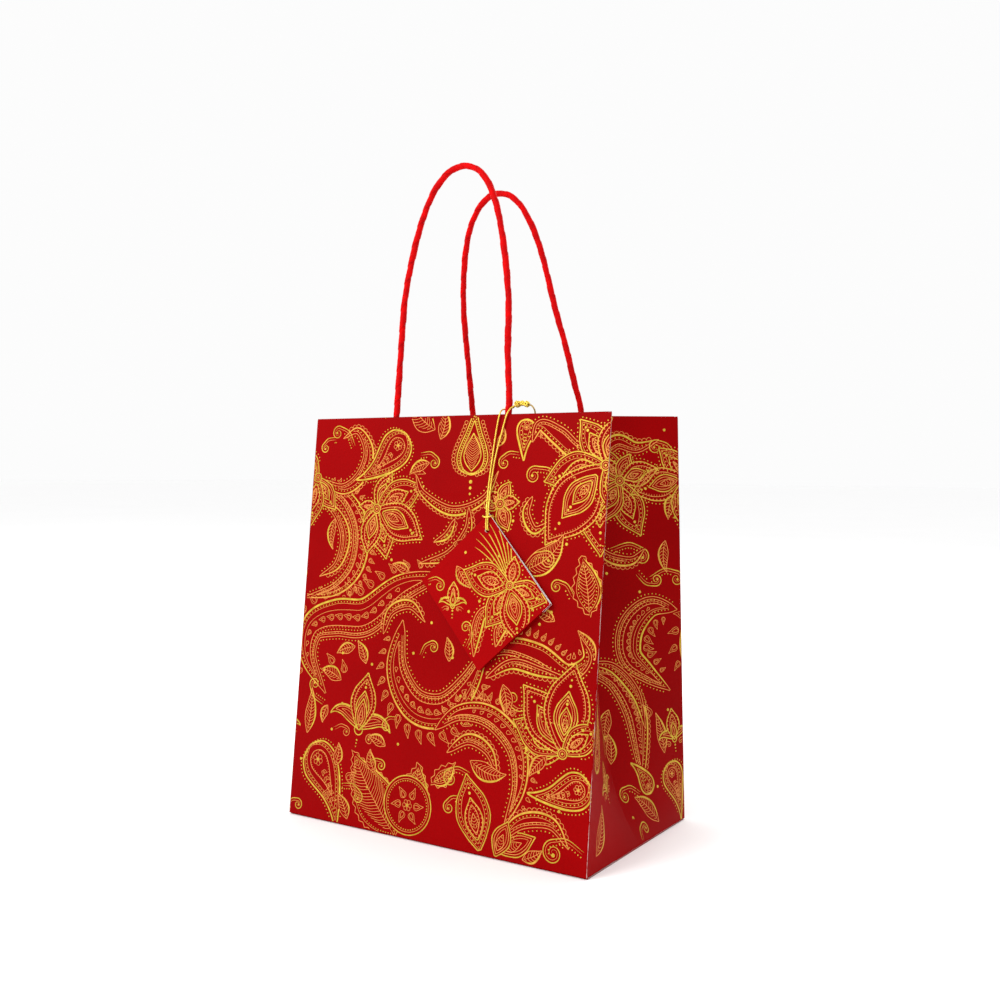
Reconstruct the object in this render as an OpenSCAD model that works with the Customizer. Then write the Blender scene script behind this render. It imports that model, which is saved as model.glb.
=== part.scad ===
// Paper gift bag with side gussets, a turned-in mouth, two twisted-paper handles
// and a folded card tag that hangs on a thin cord from the front handle.
// Millimetres. The origin is the middle of the base, +Z is up and the front faces -Y.

/* [Bag] */
// Width of the front and back panels
bag_w = 180; // [160:1:200]
// Depth of the base, front to back
bag_d = 109; // [100:1:120]
// Height of the front and back panels along their slope
panel_h = 212; // [212:1:212]
// How far the top of the front panel leans back
front_lean = 22; // [16:1:26]
// How far the top of the back panel leans forward
back_lean = 13; // [8:1:18]
// Height over which a gusset starts to fold inward above the base
gusset_start = 10; // [5:1:20]
// Thickness of the coated paper
paper = 0.3; // [0.2:0.05:0.3]

/* [Mouth] */
// Depth of the hem that is turned in round the mouth
hem_h = 40; // [30:1:45]
// Thickness of the card strip inside the front and back hems
stiffener_t = 0.6; // [0.4:0.1:0.6]
// Width of the paper patch glued over the ends of a handle
patch_w = 90; // [85:1:94]
// Height of that patch
patch_h = 30; // [25:1:34]

/* [Base] */
// Thickness of the loose card that lies in the base
board_t = 1.0; // [0.6:0.1:1.5]
// Gap between that card and the walls
board_gap = 2; // [1.5:0.5:4]
// Width of the glued seam inside the back left corner
seam_w = 14; // [10:1:18]

/* [Handles] */
// Diameter of the twisted paper of the handles
handle_d = 3.2; // [2.8:0.1:3.2]
// Length of a handle's end that is glued under its patch
glued_len = 28; // [20:1:32]
// Height above the top edge at which a handle bends
bend_h = 3.5; // [3:0.5:4]
// How far the back handle tips forward at rest, in degrees from upright
back_handle_tip = 11; // [6:1:13]

/* [Tag] */
// Length of a tag leaf along its fold
tag_fold = 51; // [45:1:55]
// Width of a tag leaf across from its fold
tag_across = 56; // [50:1:58]
// Thickness of the tag card
card = 0.35; // [0.25:0.05:0.35]
// Turn of the fold from level, in degrees
tag_turn = 42.5; // [40:0.5:46]
// Radius of the punched hole
tag_hole_r = 1.4; // [1.3:0.05:1.6]
// Distance of the hole from the fold and from the top edge of a leaf
tag_hole_in = 5.5; // [5.5:0.1:5.5]
// Diameter of the tag's cord
cord_d = 0.8; // [0.6:0.1:0.8]

/* [Hidden] */

red = [0.75, 0.02, 0.03];
dark_red = [0.6, 0.01, 0.02];
white = [0.95, 0.94, 0.92];
grey_board = [0.7, 0.68, 0.64];
gold = [0.85, 0.68, 0.2];

// The base is three layers of paper under the board, and the walls stand on it
base_t = 3 * paper;
gap = 0.05;
wall_from = base_t + gap;
front_angle = asin(front_lean / panel_h);
back_angle = asin(back_lean / panel_h);
// Layers of the mouth, counted inward from the outer face of a panel
stiffener_in = paper;
hem_in = paper + stiffener_t;
handle_in = hem_in + paper + handle_d / 2;
patch_in = hem_in + paper + handle_d;
// Inner layers stop short of the corners, where the gussets turn inward
layer_half_w = bag_w / 2 - 2;
// A gusset is cut into steps that get longer up to the hem, and even ones along the hem
gusset_steps = 12;
hem_steps = 3;
hem_from = 1 - hem_h / panel_h;
low_steps = [
    for (i = [0:gusset_steps])
    wall_from / panel_h + (hem_from - wall_from / panel_h) * pow(i / gusset_steps, 1.5)
];
high_steps = [for (i = [0:hem_steps]) hem_from + (1 - hem_from) * i / hem_steps];
// Thickness of a gusset measured along X, which is more than square to it
gusset_x = 0.4;
bend_half = 2;
bore_fn = 48;
tube_sides = 8;
// The tag lies just in front of the panel, with its top corner here
tag_x = 27;
tag_s = 163;
tag_out = 1.3;
leaf_gap = 0.1;
// The leaves spring this far apart, in degrees
leaf_open = 1.2;

// Routes of the handles above their bends: distance across, height above the top edge
front_route = [
    [-37.5, 5.5], [-37.5, 20], [-37.5, 35], [-37.5, 50], [-37.3, 60], [-36.4, 70],
    [-35, 79], [-33.3, 88], [-31.2, 97], [-28.8, 105], [-25.4, 113.5], [-21, 121],
    [-15, 126.8], [-8.5, 129.4], [-1.5, 129], [4.8, 125.8], [10, 120.3], [13.8, 113.5],
    [17, 106], [19.5, 98], [21.6, 90], [23.4, 82], [25, 74], [26.4, 65.5], [27.6, 57],
    [28.2, 48.5], [28.5, 40], [28.9, 32], [29.7, 24], [30.7, 15.5], [31.4, 9.5], [31.6, 6.5],
    [31.6, 5.5]
];
back_route = [
    [-35.6, 5.5], [-35.6, 7], [-35.4, 20], [-35.2, 34], [-35.1, 47], [-34.7, 60],
    [-33.6, 72], [-31.6, 84], [-29, 95], [-25.4, 105], [-21, 112.5], [-15.4, 118.6], [-8.8, 122.2],
    [-2, 122.4], [4.2, 119.7], [9.4, 114], [13.4, 106.5], [16.6, 98], [19, 89],
    [20.8, 80], [22.3, 71], [23.8, 62], [25.4, 54], [27.2, 46], [28.9, 38], [30.4, 29],
    [31.8, 20.5], [33.4, 12.5], [34.5, 7], [34.6, 6.3], [34.6, 5.5]
];
// Routes of the tag's cord: distance across, distance out from the front panel,
// height along that panel. They run from the top edge of the bag down to the tag.
left_strand = [
    [28.4, 1.2, 208.5], [27.6, 1.3, 202], [26.9, 1.5, 194], [26.3, 1.7, 186],
    [25.8, 1.9, 178], [25.7, 2.3, 170], [26, 2.8, 165.5], [26.2, 2.9, 163]
];
right_strand = [
    [32.3, 1.2, 208.5], [30.8, 1.3, 202], [29, 1.5, 194], [27.8, 1.7, 186],
    [27.1, 1.9, 178], [26.9, 2.3, 170], [27, 2.8, 165.5], [27.1, 2.9, 163]
];
// Round the back of the handle's leg, and across its front, up to the knot
loop_behind = [
    [28.4, 1.2, 208.5], [28.9, 1.1, 211.2], [29.2, 0.5, 213.2], [29.1, -1.4, 214.4],
    [29.4, -3.4, 215], [30.6, -4.9, 215.4], [32.6, -5, 215.8], [34.1, -4, 216.3],
    [34.93, -3.6, 216.6]
];
loop_in_front = [
    [32.3, 1.2, 208.5], [33.1, 1.1, 211.4], [33.7, 0.5, 213.4], [34.3, -0.6, 215],
    [35.44, -1.69, 216.09]
];
loop_tail = [
    [43.54, -2.68, 216.54], [44.8, -2.6, 216.1], [46.2, -2.5, 214.6], [46.9, -2.6, 212.6],
    [47.1, -2.8, 209.5]
];
// The hitch: down under the bar, through the hole, up behind, over the front as the
// bar, and back the same way
hitch = [
    [26.2, 2.9, 163], [26.2, 2.95, 160.5], [26.2, 2.9, 157.5], [26.2, 2.4, 155.7],
    [26.2, 1.4, 155.2], [26.1, 0.75, 156.6], [25.3, 0.75, 159], [24.3, 1, 161.2],
    [23.9, 2.1, 162], [24.3, 3.3, 161.8], [25.3, 3.85, 161.4], [26.65, 3.95, 161.2],
    [28, 3.85, 161.4], [29, 3.3, 161.8], [29.4, 2.1, 162], [29, 1, 161.2],
    [28, 0.75, 159], [27.2, 0.75, 156.6], [27.1, 1.4, 155.2], [27.1, 2.4, 155.7],
    [27.1, 2.9, 157.5], [27.1, 2.95, 160.5], [27.1, 2.9, 163]
];
// Middle and radius of the two lumps of the knot: across, out, height along the panel
knot_lumps = [[36.6, -2.8, 217.2, 1.9], [41.8, -2.8, 217, 1.75]];
bridge_d = 1.6;

// Where the walls are at fraction t of their height
function y_front(t) = -bag_d / 2 + front_lean * t;
function y_back(t) = bag_d / 2 - back_lean * t;
function z_front(t) = panel_h * cos(front_angle) * t;
function z_back(t) = panel_h * cos(back_angle) * t;
function y_crease(t) = (y_front(t) + y_back(t)) / 2;
function z_crease(t) = (z_front(t) + z_back(t)) / 2;
// The gusset keeps its width as the walls come together, so its middle is pushed in
function pushed_in(t) =
    let (half = (y_back(t) - y_front(t)) / 2)
    sqrt(max(0, pow(bag_d / 2, 2) - pow(half, 2))) * (1 - exp(-panel_h * t / gusset_start));

function unit(v) = v / norm(v);
function tangent(p, i) = unit(p[min(i + 1, len(p) - 1)] - p[max(i - 1, 0)]);
function square_to(v, t) = unit(v - (v * t) * t);
// A ring of points round each point of a route, turned as little as possible between rings
function rings(p, r) = [
    for (i = 0, v = square_to([0.2, 1, 0.1], tangent(p, 0));
         i < len(p);
         i = i + 1, v = square_to(v, tangent(p, min(i, len(p) - 1))))
    let (t = tangent(p, i), w = cross(t, v))
    [for (k = [0:tube_sides - 1])
        let (a = 360 * k / tube_sides)
        p[i] + r * (cos(a) * v + sin(a) * w)]
];
// Points given as across, out and up become X, Y and Z of the panel's own frame
function from_panel(p) = [for (q = p) [q[0], -q[1], q[2]]];

// A closed solid through a list of rings that have the same number of points. Each
// four-sided patch is cut corner to corner, and the side named by other_way is cut the
// other way, so that the two faces of a thin twisted wall stay parallel.
module loft(ring_list, other_way = -1) {
    n = len(ring_list[0]);
    m = len(ring_list);
    sides = [
        for (i = [0:m - 2], k = [0:n - 1])
        let (a = i * n + k, b = i * n + (k + 1) % n)
        each k == other_way ? [[a, b, a + n], [b, b + n, a + n]] : [[a, b, b + n], [a, b + n, a + n]]
    ];
    first = [for (k = [0:n - 1]) n - 1 - k];
    last = [for (k = [0:n - 1]) (m - 1) * n + k];
    polyhedron(points = [for (ring = ring_list) each ring], faces = concat(sides, [first, last]));
}

module tube(route, d) {
    loft(rings(route, d / 2));
}

// Frames of the two leaning panels: X across, Z up the panel, Y inward on the front
// panel and outward on the back one
module on_front() {
    translate([0, -bag_d / 2, 0]) rotate([-front_angle, 0, 0]) children();
}

module on_back() {
    translate([0, bag_d / 2, 0]) rotate([back_angle, 0, 0]) children();
}

// A flat layer of a panel: half its width, from how deep in, how thick, between two heights
module layer(half_w, depth, thick, low, high) {
    translate([-half_w, depth, low]) cube([2 * half_w, thick, high - low]);
}

// The fold over the top edge and the flap that it turns into, as one bent strip
module hem_strip() {
    fold_in = hem_in + paper;
    translate([-layer_half_w, 0, panel_h - hem_h])
        rotate([90, 0, 90])
        linear_extrude(height = 2 * layer_half_w)
        polygon([
            [hem_in, 0], [fold_in, 0], [fold_in, hem_h], [0, hem_h],
            [0, hem_h - paper], [hem_in, hem_h - paper]
        ]);
}

// One half of a gusset, from a corner of the bag (way -1 front, 1 back) to the crease,
// at each fraction of the height in steps. It lies this far in from the outer face and
// skips this share of the way from the corner to the crease.
module gusset_half(way, steps, depth, skip) {
    slices = [
        for (t = steps)
        let (
            corner_y = way < 0 ? y_front(t) + paper + gap : y_back(t) - paper - gap,
            corner_z = way < 0 ? z_front(t) : z_back(t),
            corner = [bag_w / 2 - depth, corner_y, corner_z],
            crease = [bag_w / 2 - pushed_in(t) - depth, y_crease(t) + way * gap, z_crease(t)],
            begin = corner + skip * (crease - corner)
        )
        [begin, crease, crease - [gusset_x, 0, 0], begin - [gusset_x, 0, 0]]
    ];
    inner_side = 2;
    if (way < 0) {
        loft([for (slice = slices) [for (k = [3:-1:0]) slice[k]]], inner_side);
    } else {
        loft(slices, inner_side);
    }
}

module gusset_wall(way) {
    gusset_half(way, concat([for (i = [0:gusset_steps - 1]) low_steps[i]], high_steps), 0, 0);
}

// The hem leaves the corners to the hems of the front and back
module gusset_hem() {
    for (way = [-1, 1]) {
        gusset_half(way, high_steps, gusset_x + 3 * gap, 0.05);
    }
}

// The straight ends of a handle, under the patch and just above the top edge
module handle_ends(x_left, x_right) {
    for (x = [x_left, x_right]) {
        translate([x, handle_in, panel_h - glued_len])
            cylinder(d = handle_d, h = glued_len + bend_h - bend_half, $fn = bore_fn);
    }
}

// The short lengths that bend when a handle folds, tipped by an angle above the bend
module handle_bends(x_left, x_right, tip) {
    top = panel_h + bend_h;
    for (x = [x_left, x_right]) {
        tube([
            [x, handle_in, top - bend_half],
            [x, handle_in, top],
            [x, handle_in + bend_half * sin(tip), top + bend_half * cos(tip)]
        ], handle_d);
    }
}

// The free part of a handle, on a route given across and up, tipped about its bend
module handle_bow(route, tip) {
    translate([0, handle_in, panel_h + bend_h])
        rotate([-tip, 0, 0])
        tube([for (q = route) [q[0], 0, q[1] - bend_h]], handle_d);
}

// The frame of the tag: X down the fold from the top corner, Y across the leaf, Z out
module on_tag(out) {
    on_front()
        translate([tag_x, -out, tag_s])
        rotate([90, 0, 0])
        rotate([0, 0, 180 + tag_turn])
        children();
}

module leaf() {
    difference() {
        cube([tag_fold, tag_across, card]);
        translate([tag_hole_in, tag_hole_in, -1])
            cylinder(r = tag_hole_r, h = card + 2, $fn = bore_fn);
    }
}

module front_panel() {
    color(red) on_front() layer(bag_w / 2, 0, paper, wall_from, panel_h - paper - gap);
}

module back_panel() {
    color(red) on_back() layer(bag_w / 2, -paper, paper, wall_from, panel_h - paper - gap);
}

module right_gusset_front() {
    color(dark_red) gusset_wall(-1);
}

module right_gusset_back() {
    color(dark_red) gusset_wall(1);
}

module left_gusset_front() {
    color(dark_red) mirror([1, 0, 0]) gusset_wall(-1);
}

module left_gusset_back() {
    color(dark_red) mirror([1, 0, 0]) gusset_wall(1);
}

module base_outer_flap() {
    reach = 0.78;
    color(red) translate([-bag_w / 2, -bag_d / 2, 0]) cube([bag_w, reach * bag_d, paper]);
}

module base_inner_flap() {
    reach = 0.72;
    color(red)
        translate([-bag_w / 2, bag_d * (0.5 - reach), paper])
        cube([bag_w, reach * bag_d, paper]);
}

// The bottoms of the gussets, folded in and tapered to a blunt point
module base_side_tucks() {
    tip_half = 8;
    tuck_in = 50;
    color(dark_red)
        for (side = [0, 1]) {
            mirror([side, 0, 0])
                translate([0, 0, 2 * paper])
                linear_extrude(height = paper)
                polygon([
                    [bag_w / 2, -bag_d / 2], [bag_w / 2, bag_d / 2],
                    [bag_w / 2 - tuck_in, tip_half], [bag_w / 2 - tuck_in, -tip_half]
                ]);
        }
}

module base_board() {
    inset_x = board_gap + 1.5;
    color(grey_board)
        translate([-bag_w / 2 + inset_x, -bag_d / 2 + board_gap, base_t + gap])
        cube([bag_w - 2 * inset_x, bag_d - 2 * board_gap, board_t]);
}

// The strip of paper that closes the tube, glued inside the back left corner
module side_seam() {
    low = 4;
    color(white)
        on_back()
        translate([-layer_half_w, -2 * paper, low])
        cube([seam_w, paper, panel_h - hem_h - gap - low]);
}

module front_hem() {
    color(red) on_front() hem_strip();
}

module back_hem() {
    color(red) on_back() mirror([0, 1, 0]) hem_strip();
}

module right_gusset_hem() {
    color(dark_red) gusset_hem();
}

module left_gusset_hem() {
    color(dark_red) mirror([1, 0, 0]) gusset_hem();
}

// The card strip stops a little inside the fold of the hem
module front_stiffener() {
    color(white)
        on_front()
        layer(layer_half_w, stiffener_in, stiffener_t, panel_h - hem_h + 2, panel_h - paper - gap);
}

module back_stiffener() {
    color(white)
        on_back()
        mirror([0, 1, 0])
        layer(layer_half_w, stiffener_in, stiffener_t, panel_h - hem_h + 2, panel_h - paper - gap);
}

module patch(middle) {
    top = panel_h - 4;
    translate([middle, 0, 0]) layer(patch_w / 2, patch_in, paper, top - patch_h, top);
}

module front_patch() {
    color(white) on_front() patch((front_route[0][0] + front_route[len(front_route) - 1][0]) / 2);
}

module back_patch() {
    color(white)
        on_back()
        mirror([0, 1, 0])
        patch((back_route[0][0] + back_route[len(back_route) - 1][0]) / 2);
}

module front_handle_ends() {
    color(red) on_front() handle_ends(front_route[0][0], front_route[len(front_route) - 1][0]);
}

module front_handle_bends() {
    color(red) on_front() handle_bends(front_route[0][0], front_route[len(front_route) - 1][0], 0);
}

module front_handle() {
    color(red) on_front() handle_bow(front_route, 0);
}

module back_handle_ends() {
    color(dark_red)
        on_back()
        mirror([0, 1, 0])
        handle_ends(back_route[0][0], back_route[len(back_route) - 1][0]);
}

module back_handle_bends() {
    color(dark_red)
        on_back()
        mirror([0, 1, 0])
        handle_bends(
            back_route[0][0], back_route[len(back_route) - 1][0], back_handle_tip - back_angle
        );
}

module back_handle() {
    color(dark_red)
        on_back()
        mirror([0, 1, 0])
        handle_bow(back_route, back_handle_tip - back_angle);
}

module tag_cord_loop() {
    color(gold)
        on_front() {
            tube(from_panel(loop_behind), cord_d);
            tube(from_panel(loop_in_front), cord_d);
            tube(from_panel(loop_tail), cord_d);
        }
}

module tag_cord_knot() {
    color(gold)
        on_front()
        union() {
            for (k = knot_lumps) {
                translate([k[0], -k[1], k[2]]) sphere(r = k[3], $fn = bore_fn);
            }
            translate([knot_lumps[0][0], -knot_lumps[0][1], knot_lumps[0][2]])
                rotate([0, 90, 0])
                cylinder(d = bridge_d, h = knot_lumps[1][0] - knot_lumps[0][0], $fn = bore_fn);
        }
}

module tag_cord_strands() {
    color(gold)
        on_front() {
            tube(from_panel(left_strand), cord_d);
            tube(from_panel(right_strand), cord_d);
        }
}

module tag_hitch() {
    color(gold) on_front() tube(from_panel(hitch), cord_d);
}

module tag_back_leaf() {
    color(red) on_tag(tag_out) leaf();
}

module tag_front_leaf() {
    color(red) on_tag(tag_out + card + leaf_gap) rotate([leaf_open, 0, 0]) leaf();
}

front_panel();
back_panel();
right_gusset_front();
right_gusset_back();
left_gusset_front();
left_gusset_back();
base_outer_flap();
base_inner_flap();
base_side_tucks();
base_board();
side_seam();
front_hem();
back_hem();
right_gusset_hem();
left_gusset_hem();
front_stiffener();
back_stiffener();
front_patch();
back_patch();
front_handle_ends();
front_handle_bends();
front_handle();
back_handle_ends();
back_handle_bends();
back_handle();
tag_cord_loop();
tag_cord_knot();
tag_cord_strands();
tag_hitch();
tag_back_leaf();
tag_front_leaf();
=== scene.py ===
"""A paper gift bag with twisted-paper handles and a folded card tag on a gold cord.

Shapes are worked out in millimetres in the frame of part.scad (the origin is the middle
of the base, +Z up, the front faces -Y), and each piece is written in metres.
"""

import math

import bpy
import numpy as np
from mathutils import Matrix, Vector
from mathutils.geometry import delaunay_2d_cdt


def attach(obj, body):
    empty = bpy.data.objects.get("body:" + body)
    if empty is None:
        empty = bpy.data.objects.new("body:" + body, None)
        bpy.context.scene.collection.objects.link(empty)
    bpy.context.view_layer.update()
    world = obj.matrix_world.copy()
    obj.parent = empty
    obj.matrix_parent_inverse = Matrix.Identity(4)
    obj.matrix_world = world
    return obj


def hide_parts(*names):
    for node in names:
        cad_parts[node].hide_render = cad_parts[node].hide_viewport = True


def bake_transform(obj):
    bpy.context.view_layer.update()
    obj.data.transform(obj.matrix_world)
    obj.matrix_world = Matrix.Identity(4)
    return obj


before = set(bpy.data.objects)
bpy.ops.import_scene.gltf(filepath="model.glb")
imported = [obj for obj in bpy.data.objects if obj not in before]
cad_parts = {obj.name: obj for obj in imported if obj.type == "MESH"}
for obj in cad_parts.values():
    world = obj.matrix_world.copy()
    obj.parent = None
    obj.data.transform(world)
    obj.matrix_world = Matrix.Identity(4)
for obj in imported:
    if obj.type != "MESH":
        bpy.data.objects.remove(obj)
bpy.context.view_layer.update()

MM = 0.001

# ---------------------------------------------------------------- sizes, from part.scad
BAG_W, BAG_D, PANEL_H = 180.0, 109.0, 212.0
FRONT_LEAN, BACK_LEAN = 22.0, 13.0
GUSSET_START = 10.0
PAPER = 0.3
HEM_H = 40.0
STIFFENER = 0.6
PATCH_W, PATCH_H = 90.0, 30.0
BOARD_T, BOARD_GAP = 1.0, 2.0
SEAM_W = 14.0
HANDLE_D = 3.2
GLUED_LEN = 28.0
BEND_H = 3.5
BACK_HANDLE_TIP = 11.0
TAG_FOLD, TAG_ACROSS = 51.0, 56.0
CARD = 0.35
TAG_TURN = 42.5
TAG_X, TAG_S, TAG_OUT = 27.0, 163.0, 1.3
HOLE_R, HOLE_IN = 1.4, 5.5
LEAF_GAP = 0.1
CORD_D = 0.8
WALL_FROM = 0.95
FRONT_ANGLE = math.asin(FRONT_LEAN / PANEL_H)
BACK_ANGLE = math.asin(BACK_LEAN / PANEL_H)
HANDLE_IN = PAPER + STIFFENER + PAPER + HANDLE_D / 2

# Handles above their bends: distance across, height above the top edge
FRONT_ROUTE = [
    (-37.5, 5.5), (-37.5, 20), (-37.5, 35), (-37.5, 50), (-37.3, 60), (-36.4, 70),
    (-35, 79), (-33.3, 88), (-31.2, 97), (-28.8, 105), (-25.4, 113.5), (-21, 121),
    (-15, 126.8), (-8.5, 129.4), (-1.5, 129), (4.8, 125.8), (10, 120.3), (13.8, 113.5),
    (17, 106), (19.5, 98), (21.6, 90), (23.4, 82), (25, 74), (26.4, 65.5), (27.6, 57),
    (28.2, 48.5), (28.5, 40), (28.9, 32), (29.7, 24), (30.7, 15.5), (31.4, 9.5),
    (31.6, 5.5),
]
BACK_ROUTE = [
    (-35.6, 5.5), (-35.4, 20), (-35.2, 34), (-35.1, 47), (-34.7, 60), (-33.6, 72),
    (-31.6, 84), (-29, 95), (-25.4, 105), (-21, 112.5), (-15.4, 118.6), (-8.8, 122.2),
    (-2, 122.4), (4.2, 119.7), (9.4, 114), (13.4, 106.5), (16.6, 98), (19, 89),
    (20.8, 80), (22.3, 71), (23.8, 62), (25.4, 54), (27.2, 46), (28.9, 38), (30.4, 29),
    (31.8, 20.5), (33.4, 12.5), (34.6, 5.5),
]
# The tag's cord, as distance across, distance out from the front panel, height up it
LEFT_STRAND = [
    (28.4, 1.2, 208.5), (27.6, 1.3, 202), (26.9, 1.5, 194), (26.3, 1.7, 186),
    (25.8, 1.9, 178), (25.7, 2.3, 170), (26, 2.8, 165.5), (26.2, 2.9, 163),
]
RIGHT_STRAND = [
    (32.3, 1.2, 208.5), (30.8, 1.3, 202), (29, 1.5, 194), (27.8, 1.7, 186),
    (27.1, 1.9, 178), (26.9, 2.3, 170), (27, 2.8, 165.5), (27.1, 2.9, 163),
]
LOOP_BEHIND = [
    (28.4, 1.2, 208.5), (28.9, 1.1, 211.2), (29.2, 0.5, 213.2), (29.1, -1.4, 214.4),
    (29.4, -3.4, 215), (30.6, -4.9, 215.4), (32.6, -5, 215.8), (34.1, -4, 216.3),
    (35.2, -3.3, 216.8),
]
LOOP_IN_FRONT = [
    (32.3, 1.2, 208.5), (33.1, 1.1, 211.4), (33.7, 0.5, 213.4), (34.3, -0.6, 215),
    (35.4, -1.8, 216.2),
]
LOOP_TAIL = [
    (42.6, -2.7, 216.9), (43.5, -2.7, 216.6), (44.8, -2.6, 216.1), (46.2, -2.5, 214.6),
    (46.9, -2.6, 212.6), (47.1, -2.8, 209.5),
]
HITCH = [
    (26.2, 2.9, 163), (26.2, 2.95, 160.5), (26.2, 2.9, 157.5), (26.2, 2.4, 155.7),
    (26.2, 1.4, 155.2), (26.1, 0.75, 156.6), (25.3, 0.75, 159), (24.3, 1, 161.2),
    (23.9, 2.1, 162), (24.3, 3.3, 161.8), (25.3, 3.85, 161.4), (26.65, 3.95, 161.2),
    (28, 3.85, 161.4), (29, 3.3, 161.8), (29.4, 2.1, 162), (29, 1, 161.2),
    (28, 0.75, 159), (27.2, 0.75, 156.6), (27.1, 1.4, 155.2), (27.1, 2.4, 155.7),
    (27.1, 2.9, 157.5), (27.1, 2.95, 160.5), (27.1, 2.9, 163),
]
KNOT_LUMPS = [(36.6, -2.8, 217.2, 1.9), (41.8, -2.8, 217.0, 1.75), (39.2, -2.8, 217.5, 1.5)]


# ---------------------------------------------------------------- small tools
def smooth(q):
    """Goes from 0 to 1 with soft ends."""
    q = np.clip(q, 0, 1)
    return q * q * (3 - 2 * q)


def unit(v):
    """Vectors scaled to length 1."""
    return v / (np.linalg.norm(v, axis=-1, keepdims=True) + 1e-12)


def gone_along(line):
    """How far along a line each of its points is."""
    return np.r_[0, np.cumsum(np.linalg.norm(np.diff(line, axis=0), axis=1))]


def resampled(line, count):
    """The same line as a number of evenly spaced points."""
    gone = gone_along(line)
    at = np.linspace(0, gone[-1], count)
    return np.stack([np.interp(at, gone, axis) for axis in line.T], 1)


def spaced(line, step):
    """The same line with points about a step apart."""
    return resampled(line, max(2, int(round(gone_along(line)[-1] / step)) + 1))


def spline(points, step):
    """A smooth curve through points of 2 or 3 numbers, with even steps."""
    p = np.array(points, float)
    p = np.vstack([2 * p[0] - p[1], p, 2 * p[-1] - p[-2]])
    q = np.linspace(0, 1, 12, endpoint=False)[:, None]
    parts = [
        0.5 * (2 * b + (c - a) * q + (2 * a - 5 * b + 4 * c - d) * q**2
               + (3 * b - a - 3 * c + d) * q**3)
        for a, b, c, d in zip(p, p[1:], p[2:], p[3:])
    ]
    return spaced(np.vstack([*parts, p[-2:-1]]), step)


def panel_place(p, way, angle):
    """Points across, out of and up a leaning panel, as points of the bag's frame. way is
    -1 for the front panel and 1 for the back."""
    x, out, s = np.moveaxis(np.asarray(p, float), -1, 0)
    c, n = math.cos(angle), math.sin(angle)
    return np.stack([x, way * (BAG_D / 2 + out * c - s * n), out * n + s * c], -1)


def front_place(p):
    return panel_place(p, -1, FRONT_ANGLE)


def back_place(p):
    return panel_place(p, 1, BACK_ANGLE)


def place_on_tag(p):
    """Points down the fold, across the leaf and out of it, as points of the bag's frame."""
    a, b, out = np.moveaxis(np.asarray(p, float), -1, 0)
    turn = math.radians(180 + TAG_TURN)
    c, n = math.cos(turn), math.sin(turn)
    x, s = TAG_X + a * c - b * n, TAG_S + a * n + b * c
    return front_place(np.stack([x, TAG_OUT + out, s], -1))


def piece(name, verts, faces, materials, face_material=None, flat=False, values=None):
    """A mesh object from points in millimetres, with its materials by face and its
    named numbers for each point."""
    mesh = bpy.data.meshes.new(name)
    verts = np.asarray(verts, float) * MM
    mesh.from_pydata(verts.tolist(), [], faces)
    obj = bpy.data.objects.new(name, mesh)
    bpy.context.scene.collection.objects.link(obj)
    for m in materials:
        mesh.materials.append(m)
    if face_material is not None:
        mesh.polygons.foreach_set("material_index", np.asarray(face_material, np.int32))
    mesh.polygons.foreach_set("use_smooth", np.full(len(mesh.polygons), not flat))
    for key, numbers in (values or {}).items():
        attribute = mesh.attributes.new(key, "FLOAT", "POINT")
        attribute.data.foreach_set("value", np.asarray(numbers, np.float32))
    mesh.validate()
    return obj


def join(objects, name):
    """Several meshes with the same materials as one object."""
    first = objects[0]
    with bpy.context.temp_override(active_object=first, selected_editable_objects=objects):
        bpy.ops.object.join()
    first.name = name
    first.data.name = name
    return first


def grid_faces(rows, cols, start=0, turned=False):
    """Faces of a grid whose points are stored row by row. Rows go up, columns across."""
    faces = []
    for r in range(rows - 1):
        for c in range(cols - 1):
            a = start + r * cols + c
            quad = (a, a + 1, a + cols + 1, a + cols)
            faces.append(quad[::-1] if turned else quad)
    return faces


def sheet_piece(name, outer, inner, materials, crease=None):
    """A closed sheet between two grids of points, with materials for its outer face, its
    inner face and its cut edge. crease is a grid of one number for each point."""
    rows, cols = outer.shape[:2]
    count = rows * cols
    ahead, behind = grid_faces(rows, cols), grid_faces(rows, cols, count, True)
    rim = (
        list(range(cols))
        + [r * cols + cols - 1 for r in range(1, rows)]
        + [(rows - 1) * cols + c for c in range(cols - 2, -1, -1)]
        + [r * cols for r in range(rows - 2, 0, -1)]
    )
    points = np.vstack([outer.reshape(-1, 3), inner.reshape(-1, 3)])
    points = np.vstack([points, points[rim], points[[count + k for k in rim]]])
    a, b = 2 * count, 2 * count + len(rim)
    pairs = [(k, (k + 1) % len(rim)) for k in range(len(rim))]
    cut = [(a + after, a + k, b + k, b + after) for k, after in pairs]
    kinds = [0] * len(ahead) + [1] * len(behind) + [2] * len(cut)
    values = {}
    if crease is not None:
        flat = crease.reshape(-1)
        values["crease"] = np.r_[flat, flat, flat[rim], flat[rim]]
    return piece(name, points, ahead + behind + cut, materials, kinds, values=values)


# ---------------------------------------------------------------- the folded sheet
WALLS = ["front_panel", "right_gusset_front", "right_gusset_back", "back_panel",
         "left_gusset_back", "left_gusset_front"]
FULL = [BAG_W, BAG_D / 2, BAG_D / 2, BAG_W, BAG_D / 2, BAG_D / 2]
STARTS = np.cumsum([-BAG_W / 2] + FULL[:-1])
AROUND = sum(FULL)
CORNER_R, CREASE_R = 1.0, 0.55
FOLD_R, GUSSET_FOLD_R = 0.6, 0.35
# Numbers of the walls: the two panels, and the front and back halves of the gussets, of
# which the first starts at an upright corner and the second ends at one
PANELS, STARTING, ENDING = (0, 3), (1, 4), (2, 5)
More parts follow.
